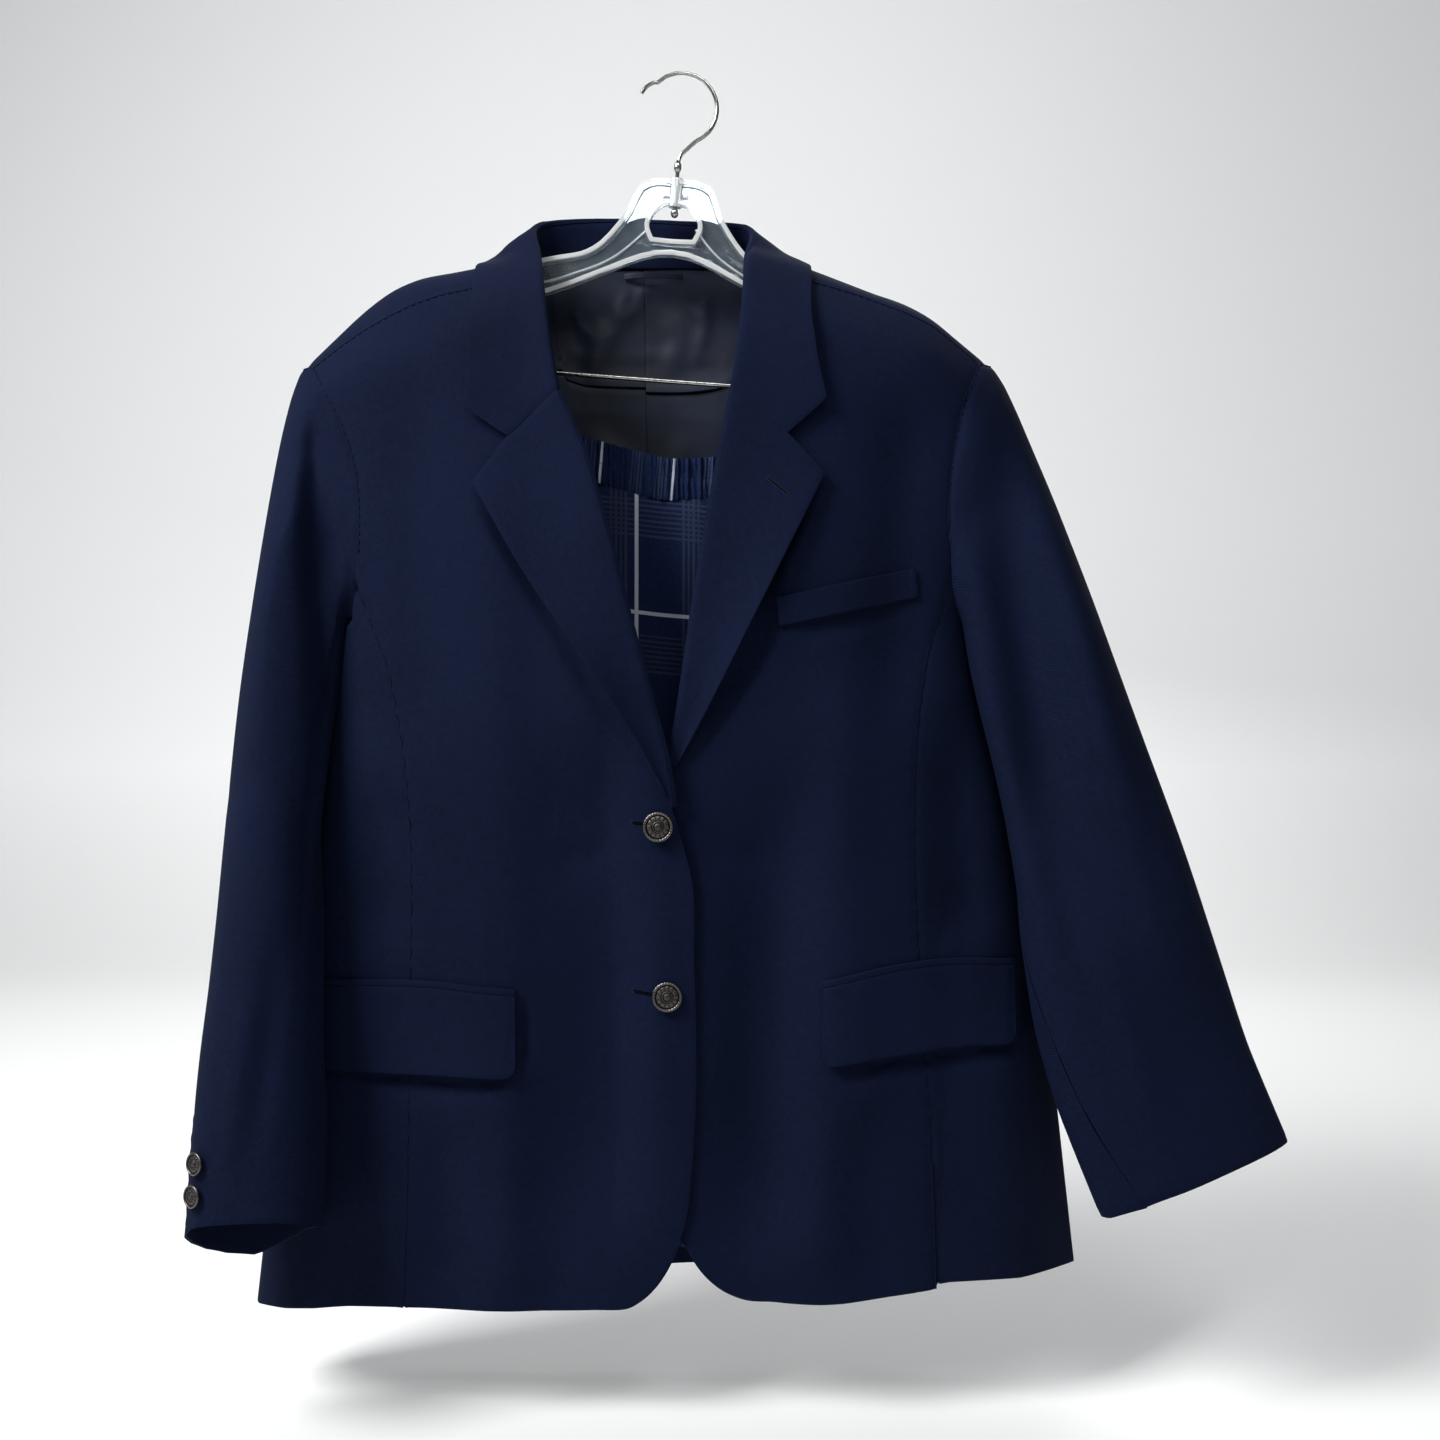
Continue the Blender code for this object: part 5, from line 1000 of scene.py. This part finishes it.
print("white line of the skirt at", SKIRT_WHITE_X)

# %% Skirt pieces
# the gathers of the elastic waistband: their pitch, depth and the row of stitches between them
GATHER_PITCH, GATHER_DEPTH, STITCH_HALF = 3.9, 1.1, 2.4
BAND_STITCH = ((-181, -247), (-62, -266.5), (-4, -277.5), (22, -278), (60, -273.5), (152, -261))


def band_middle(x):
    """The level of the waistband's row of stitches."""
    line = np.array(BAND_STITCH)
    return np.interp(x, line[:, 0], line[:, 1])


def gathered(face):
    """Small uneven gathers over the band, pinched in at its stitches."""
    def shift(points):
        x, from_stitch = points[:, 0], points[:, 2] - band_middle(points[:, 0])
        # two slow waves make the pitch uneven, and the rows above and below are out of step
        phase = 2 * math.pi * x / GATHER_PITCH + 1.5 * np.sin(x / 6.1) + 0.9 * np.sin(x / 2.7)
        phase = phase + np.where(from_stitch > 0, 0.0, 1.5) + 0.05 * from_stitch
        pinch = 1 - np.exp(-(from_stitch / STITCH_HALF) ** 2)
        depth = GATHER_DEPTH * (0.65 + 0.35 * np.sin(x / 9.3 + 1)) * np.cos(phase) * pinch
        moved = points.copy()
        moved[:, 1] += face * (depth + 0.7 * (pinch - 1))
        return moved
    return shift


checked = dict(material=check, slot="check")
for face, out in (("front", -1), ("back", 1)):
    pieces["skirt_" + face] = cloth("skirt_" + face, weave=skirt_weave, rim=0.35, **checked)
    pieces["waistband_" + face] = cloth("waistband_" + face, 3, weave=band_weave, rim=0.3,
                                        shift=gathered(out), **checked)
print("all cloth pieces", len(pieces))

# %% [markdown]
# ## Stitches
# Stitches repeat along a line, so a tree of geometry nodes sets them: it walks along a path of
# points on the cloth, turns a small thread along the path or across it, and varies its size, as
# a hand or a machine never makes two alike. The threads are made real at the end, because an
# export drops what is only repeated.
# %% Node group for stitches
THREAD_SIDES, THREAD_RINGS = 6, 5
THREAD_LEAST, THREAD_MOST = 0.82, 1.12  # how far the threads' sizes differ
SEED = 7


def stitch_group():
    """The node group that sets threads along a mesh path."""
    group = bpy.data.node_groups.new("stitches", "GeometryNodeTree")
    sockets = (("Geometry", "Geometry"), ("Pitch", "Float"), ("Length", "Float"),
               ("Thickness", "Float"), ("Across", "Float"), ("Seed", "Int"),
               ("Material", "Material"))
    for label, kind in sockets:
        group.interface.new_socket(label, in_out="INPUT", socket_type="NodeSocket" + kind)
    group.interface.new_socket("Geometry", in_out="OUTPUT", socket_type="NodeSocketGeometry")
    given = add(group, "NodeGroupInput").outputs
    curve = add(group, "GeometryNodeMeshToCurve", {"Mesh": given["Geometry"]})
    spots = add(group, "GeometryNodeCurveToPoints",
                {"Curve": curve.outputs[0], "Length": given["Pitch"]}, mode="LENGTH").outputs
    side = add(group, "ShaderNodeVectorMath", spots["Tangent"], (0, 1, 0),
               operation="CROSS_PRODUCT")
    way = add(group, "ShaderNodeMix", {0: given["Across"], 4: spots["Tangent"], 5: side.outputs[0]},
              data_type="VECTOR")
    turn = add(group, "FunctionNodeAlignRotationToVector", {"Vector": way.outputs[1]}, axis="Z")
    uneven = add(group, "FunctionNodeRandomValue",
                 {2: THREAD_LEAST, 3: THREAD_MOST, "Seed": given["Seed"]})
    size = add(group, "ShaderNodeCombineXYZ", given["Thickness"], given["Thickness"],
               given["Length"])
    size = add(group, "ShaderNodeVectorMath", {0: size.outputs[0], "Scale": uneven.outputs[1]},
               operation="SCALE")
    ball = add(group, "GeometryNodeMeshUVSphere",
               {"Segments": THREAD_SIDES, "Rings": THREAD_RINGS, "Radius": 0.5})
    placed = add(group, "GeometryNodeInstanceOnPoints",
                 {"Points": spots["Points"], "Instance": ball.outputs[0],
                  "Rotation": turn.outputs[0], "Scale": size.outputs[0]})
    real = add(group, "GeometryNodeRealizeInstances", placed.outputs[0])
    painted = add(group, "GeometryNodeSetMaterial",
                  {0: real.outputs[0], "Material": given["Material"]})
    add(group, "NodeGroupOutput", painted.outputs[0])
    return group


stitches = stitch_group()
print("stitch group has", len(stitches.nodes), "nodes")


# %% Rows of stitches
def stitch_row(name, points, pitch, length, thickness, across, material, closed=False):
    """Threads along a path of points in millimetres, as a finished piece."""
    count = len(points)
    edges = [(i, (i + 1) % count) for i in range(count if closed else count - 1)]
    made = linked(name, points, edges)
    modifier = made.modifiers.new("stitches", "NODES")
    modifier.node_group = stitches
    values = {"Pitch": pitch * MM, "Length": length * MM, "Thickness": thickness * MM,
              "Across": float(across), "Seed": SEED, "Material": material}
    for item in stitches.interface.items_tree:
        if item.in_out == "INPUT" and item.name in values:
            modifier[item.identifier] = values[item.name]
    done = applied(made)
    done.materials.clear()
    done.materials.append(material)
    done.polygons.foreach_set("material_index", [0] * len(done.polygons))
    done.shade_smooth()
    return finished(made)


IN_FRONT = -400.0                       # a depth from which rays reach all the cloth


def on_cloth(names, line, lift):
    """Points (x, z) laid on the front of the named pieces, `lift` millimetres off it."""
    trees = []
    for name in names:
        mesh = pieces[name].data
        trees.append(BVHTree.FromPolygons([v.co for v in mesh.vertices],
                                          [p.vertices for p in mesh.polygons]))
    laid = []
    for x, z in line:
        hits = [tree.ray_cast((x * MM, IN_FRONT * MM, z * MM), (0, 1, 0))[0] for tree in trees]
        depth = min(hit.y for hit in hits if hit)
        laid.append((x, depth / MM - lift, z))
    return np.array(laid)


extras = {name: [] for name in ("front_left", "lapel_right", "breast_welt", "waistband_front")}
print("stitches go on", list(extras))

# %% [markdown]
# ## Buttonholes
# A buttonhole is a slit whose cut edges are bound by close threads all round. The slit is a thin
# lens painted near black as the shade inside the opening; it lies in the cloth, so that it needs
# no cut in the wall, and the same node group sets its threads across a closed path round it. The
# pulled ones gape, the lapel's stays shut.
# %% Buttonholes
THREAD_OUT = 0.5                        # from the edge of the slit to the middle of its threads
HOLE_PITCH, HOLE_LENGTH, HOLE_THICKNESS = 0.42, 1.1, 0.46
SLIT_FRONT, SLIT_SIDE, SLIT_BACK = -0.3, -0.2, 0.3          # depths of the lens's four edges


def buttonhole(name, piece, start, end, gape):
    """A worked buttonhole on a piece between two (x, z) ends: its slit, which gapes by half
    `gape` each way, and its threads."""
    start, end = np.array(start, float), np.array(end, float)
    along = (end - start) / np.linalg.norm(end - start)
    off = np.array((-along[1], along[0]))
    turns = np.linspace(0, math.pi, 7)
    loop = [end + (gape + THREAD_OUT) * (math.sin(t) * along + math.cos(t) * off) for t in turns]
    loop += [start - (gape + THREAD_OUT) * (math.sin(t) * along + math.cos(t) * off) for t in turns]
    path = on_cloth([piece], loop, 0.05)
    threads = stitch_row(name + "_threads", path, HOLE_PITCH, HOLE_LENGTH, HOLE_THICKNESS, True,
                         thread, closed=True)
    line = on_cloth([piece], np.linspace(start, end, 9), 0.0)
    ring = [(0.0, SLIT_FRONT), (gape, SLIT_SIDE), (0.0, SLIT_BACK), (-gape, SLIT_SIDE)]
    points = [p + np.array((off[0] * a, b, off[1] * a)) for p in line for a, b in ring]
    faces = [(4 * i + j, 4 * i + (j + 1) % 4, 4 * i + 4 + (j + 1) % 4, 4 * i + 4 + j)
             for i in range(len(line) - 1) for j in range(4)]
    faces += [(3, 2, 1, 0), tuple(4 * (len(line) - 1) + j for j in range(4))]
    # the slit is painted shade: a near-black lens in the cloth
    slit = make_piece(name + "_slit", np.array(points), faces, dark)
    extras[piece] += [threads, slit]


buttonhole("front_hole_top", "front_left", (-28.0, -508.8), (-12.0, -510.6), 1.0)
buttonhole("front_hole_low", "front_left", (-27.4, -618.4), (-7.0, -620.0), 1.1)
buttonhole("lapel_hole", "lapel_right", (59.3, -288.3), (71.3, -298.4), 0.35)
print("pieces of the buttonholes", sum(len(v) for v in extras.values()))

# %% [markdown]
# The breast welt is sewn down at each end by a short row of stitches, and the waistband's
# elastic by a long one through its middle. The same node group sets them, here along its path.
# %% Rows on the welt and the waistband
# name, upper and lower end
WELT_ROWS = (("welt_stitches_inner", (67.4, -366.2), (66.8, -380.6)),
             ("welt_stitches_outer", (153.6, -346.6), (152.8, -360.8)))
for name, top, low in WELT_ROWS:
    row = on_cloth(["breast_welt", "front_right"], np.linspace(top, low, 6), 0.0)
    extras["breast_welt"].append(stitch_row(name, row, 1.9, 1.4, 0.3, False, thread))

BAND_LEFT, BAND_RIGHT = -176, 147
across = np.linspace(BAND_LEFT, BAND_RIGHT, 90)
row = on_cloth(["waistband_front"], np.stack((across, band_middle(across)), axis=1), 0.05)
extras["waistband_front"].append(
    stitch_row("waist_stitches", row, 2.6, 1.9, 0.34, False, thread))
print("stitched pieces", sum(len(v) for v in extras.values()))

# %% [markdown]
# ## Buttons
# Blazer buttons are cast metal domes on a shank, with a raised face. A relief in the material
# would leave the outline smooth, so the face is a real surface: rings of points, lifted into a
# roped rim and a plain rosette by two waves round the button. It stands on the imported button's
# own axis, which is the shortest of that solid's three.
# %% The face's rings
# radius, height, and how much of the rope and of the rosette is raised there
FACE = (
    (2.4, 1.9, 0, 0), (9.2, 2.4, 0, 0), (9.8, 2.8, 0, 0), (10, 3.2, 0, 0),
    (9.95, 3.6, 0, 0), (9.7, 3.95, 0.2, 0), (9.35, 4.2, 0.7, 0), (9.0, 4.3, 1, 0),
    (8.65, 4.3, 1, 0), (8.3, 4.15, 0.7, 0), (8.0, 3.85, 0.1, 0), (7.7, 3.6, 0, 0),
    (7.3, 3.62, 0, 0.1), (6.9, 3.78, 0, 0.5), (6.4, 3.95, 0, 1), (5.9, 4.08, 0, 1),
    (5.4, 4.18, 0, 1), (4.9, 4.26, 0, 0.8), (4.5, 4.22, 0, 0.3), (4.2, 4.05, 0, 0),
    (3.9, 4.05, 0, 0), (3.6, 4.3, 0, 0), (3.2, 4.42, 0, 0), (2.8, 4.3, 0, 0),
    (2.5, 4.2, 0, 0), (2.1, 4.45, 0, 0), (1.5, 4.7, 0, 0), (0.8, 4.84, 0, 0),
    (0.05, 4.88, 0, 0),
)
ROPE_TURNS, ROPE_HEIGHT, PETALS, PETAL_HEIGHT = 30, 0.2, 12, 0.3
FACE_RADIUS = 10.0                      # of a front button; a cuff button is FACE scaled down
LEAST_HEIGHT = 0.9                      # the least share of the face's height that one keeps
GROOVES_AT = ((7.2, 8.1), (3.8, 4.3), (2.4, 2.9))           # radii of the blackened grooves
FLAT, FIELD, GROOVE = 0.15, 0.5, 0.9    # how blackened the rim, the field and a groove are
FIELD_RADIUS = 8.3                      # the field lies inside this, and the rim outside
RUBBED = 1.6                            # how much the blackening falls per millimetre raised
SUNK = 0.3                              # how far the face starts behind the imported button's foot
print("rings", len(FACE))


# %% Make the buttons
def blackened(radius):
    """How blackened a ring of the face is, before its relief counts."""
    if any(low < radius < high for low, high in GROOVES_AT):
        return GROOVE
    return FIELD if radius < FIELD_RADIUS else FLAT


def ring_faces(rings, steps):
    """Quads between rings of points, and a face at each end."""
    faces = [(r * steps + i, r * steps + (i + 1) % steps,
              (r + 1) * steps + (i + 1) % steps, (r + 1) * steps + i)
             for r in range(rings - 1) for i in range(steps)]
    return faces + [tuple(range(steps))[::-1], tuple((rings - 1) * steps + i for i in range(steps))]


def fine_button(name, steps):
    """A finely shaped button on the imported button's axis."""
    packed = np.array([v.co for v in nodes[name].data.vertices]) / MM
    middle = (packed.min(axis=0) + packed.max(axis=0)) / 2
    spread, axes = np.linalg.eigh(np.cov((packed - middle).T))
    out = axes[:, 0] * (-1 if axes[1, 0] > 0 else 1)
    first = np.cross(out, (0, 0, 1.0))
    first /= np.linalg.norm(first)
    second = np.cross(out, first)
    middle = [((packed @ a).max() + (packed @ a).min()) / 2 for a in (first, second)]
    scale = np.ptp(packed @ second) / (2 * FACE_RADIUS)
    tall = max(scale, LEAST_HEIGHT)
    foot = (packed @ out).min() - SUNK * tall
    swing = np.linspace(0, 2 * math.pi, steps, endpoint=False)
    rings, hollows = [], []
    for radius, height, rope, petal in FACE:
        raised = rope * ROPE_HEIGHT * np.cos(ROPE_TURNS * swing + 4 * radius)
        raised = raised + petal * PETAL_HEIGHT * (np.abs(np.cos(PETALS / 2 * swing)) - 0.6)
        up = foot + (height + raised) * tall
        place = (out * up[:, None] + first * (middle[0] + scale * radius * np.cos(swing))[:, None]
                 + second * (middle[1] + scale * radius * np.sin(swing))[:, None])
        rings.append(place)
        hollows.append(np.clip(blackened(radius) - RUBBED * raised, 0, 1))
    made = make_piece(name + "_metal", np.concatenate(rings), ring_faces(len(FACE), steps), silver,
                      (name,))
    attribute = made.data.attributes.new("hollow", "FLOAT", "POINT")
    attribute.data.foreach_set("value", np.concatenate(hollows).astype(np.float32))
    mesh = bmesh.new()
    mesh.from_mesh(made.data)
    bmesh.ops.recalc_face_normals(mesh, faces=mesh.faces)
    mesh.to_mesh(made.data)
    mesh.free()
    return made


FRONT_STEPS, CUFF_STEPS = 144, 96       # points round a ring
names = [name for name in nodes if name.startswith("button")]
for name in names:
    fine_button(name, FRONT_STEPS if "front" in name else CUFF_STEPS)
print("buttons", len(names))

# %% [markdown]
# ## Hanger
# The clear body is moulded, so all its edges are rounded, and drawn wire has none. Both are the
# packed forms, split finer. Thin ribs stiffen the arms on both faces, and each is a round tube
# along a smoothed line, half sunk in the web.
# %% Hanger body, clips and wires
for name, rim in (("hanger_body", 0.9), ("clip_left", 0.6), ("clip_right", 0.6)):
    points, faces = refined(name, 1)
    make_piece(name + "_clear", points, faces, clear, (name,), rim)
for name in ("hook", "lower_bar"):
    points, faces = refined(name, 2)
    make_piece(name + "_wire", points, faces, wire, (name,))
print("hanger parts done")

# %% Ribs of the hanger
RIB_RADIUS, RIB_SIDES = 1.0, 8
# the ribs' lines (x, z) and the depth that they stand at
RIBS = (
    ((-21.2, -106.4), (-31.8, -116), (-41.9, -124.1), (-53.9, -130.6), (-72.1, -136.7),
     (-88.6, -142.2), (-127.2, -148.6), (-157.8, -155.4), (-180.2, -160.7)),
    ((11.6, -106.9), (18.6, -117), (27.7, -127.1), (41.8, -137.2), (58, -146.4), (74.9, -154.2),
     (112.1, -166.2), (141.4, -177.3), (162.8, -185.9)),
)
RIB_DEPTH = 1.3


def tube(path, radius, sides):
    """Points and faces of a tube along a smooth path of (x, y, z)."""
    path = np.array(path, float)
    place = np.linspace(0, len(path) - 1, 6 * len(path))
    path = np.stack([np.interp(place, np.arange(len(path)), path[:, i]) for i in range(3)], axis=1)
    for _ in range(8):
        path[1:-1] = (path[:-2] + 2 * path[1:-1] + path[2:]) / 4
    along = np.gradient(path, axis=0)
    along /= np.linalg.norm(along, axis=1, keepdims=True)
    side = np.cross(along, (0, 1.0, 0))
    other = np.cross(side, along)
    swing = np.linspace(0, 2 * math.pi, sides, endpoint=False)
    round_it = np.cos(swing)[:, None] * side[:, None] + np.sin(swing)[:, None] * other[:, None]
    points = path[:, None] + radius * round_it
    return points.reshape(-1, 3), ring_faces(len(path), sides)


for index, rib in enumerate(RIBS):
    for face, word in ((-1, "front"), (1, "back")):
        points, faces = tube([(x, face * RIB_DEPTH, z) for x, z in rib], RIB_RADIUS, RIB_SIDES)
        make_piece(f"hanger_rib_{index}_{word}", points, faces, clear)
print("hanger ready")

# %% [markdown]
# ## Stage, light and camera
# Dark cloth shows its folds only in light from one side, so a large key light stands high on the
# left and a weak fill in front. A pale floor sweeps up into a wall far behind, so that no edge
# crosses the picture. The camera stands level with the middle of the blazer, at a lens of 39 mm.
# %% Floor and wall
FLOOR_Z, WALL_Y, SWEEP, STAGE_HALF, STAGE_TOP = -900.0, 2600.0, 900.0, 5000.0, 4200.0
FLOOR_FRONT = -4500.0


def make_stage():
    """A floor and wall in one sweep."""
    turn = np.linspace(0, math.pi / 2, 13)
    profile = [(FLOOR_FRONT, FLOOR_Z)]
    profile += [(WALL_Y - SWEEP + SWEEP * math.sin(t), FLOOR_Z + SWEEP * (1 - math.cos(t)))
                for t in turn]
    profile.append((WALL_Y, STAGE_TOP))
    points = [(x, y, z) for y, z in profile for x in (-STAGE_HALF, STAGE_HALF)]
    faces = [(2 * i, 2 * i + 1, 2 * i + 3, 2 * i + 2) for i in range(len(profile) - 1)]
    made = linked("stage", points, faces=faces)
    made.data.shade_smooth()
    paint, shader = new_material("pale studio floor")
    tree = paint.node_tree
    place = add(tree, "ShaderNodeTexCoord").outputs["Object"]
    height = add(tree, "ShaderNodeSeparateXYZ", place).outputs[2]
    share = add(tree, "ShaderNodeMath", height, -FLOOR_Z * MM, operation="ADD").outputs[0]
    # painted shade: the stage is darker at the floor and lightens up to 350 mm above it
    colour = add(tree, "ShaderNodeValToRGB", share, stops=tones(0.0, "d6d7d7", 0.35, "f2f3f3"))
    finish(tree, shader, colour.outputs[0], Roughness=0.9, Specular_IOR_Level=0.1)
    made.data.materials.append(paint)


make_stage()
print("stage ready")

# %% Lights
world = bpy.data.worlds.new("soft studio")
world.use_nodes = True
background = world.node_tree.nodes["Background"]
background.inputs["Color"].default_value = shade("eef0f4")
background.inputs["Strength"].default_value = 0.25
bpy.context.scene.world = world


def area_light(name, place, target, size, power):
    """A square soft light at a place, aimed at a target, in millimetres."""
    data = bpy.data.lights.new(name, "AREA")
    data.shape = "SQUARE"
    data.size = size * MM
    data.energy = power
    made = bpy.data.objects.new(name, data)
    bpy.context.scene.collection.objects.link(made)
    made.location = np.array(place) * MM
    aim = np.array(target, float) - np.array(place, float)
    across = math.hypot(aim[0], aim[1])
    made.rotation_euler = (math.atan2(across, -aim[2]), 0, math.atan2(aim[1], aim[0]) - math.pi / 2)


area_light("key", (-1350, -1000, 1000), (30, 0, -400), 900, 84)
area_light("fill", (200, -1500, 1100), (30, 0, -350), 700, 11)
area_light("wall", (0, 700, 1500), (0, 2600, -300), 1200, 9)
area_light("back_fill", (300, 1700, 900), (30, 0, -430), 1600, 30)

# %% Camera
CAMERA_AT, CAMERA_LENS, SENSOR = (28.2, -1070.0, -443.0), 38.95, 36.0
camera_data = bpy.data.cameras.new("camera")
camera_data.lens = CAMERA_LENS
camera_data.sensor_width = SENSOR
camera_data.clip_end = 50
camera = bpy.data.objects.new("camera", camera_data)
camera.location = np.array(CAMERA_AT) * MM
camera.rotation_euler = (math.pi / 2, 0, 0)
bpy.context.scene.collection.objects.link(camera)
bpy.context.scene.camera = camera
bpy.context.scene.view_settings.view_transform = "Standard"
print("camera at", CAMERA_AT)
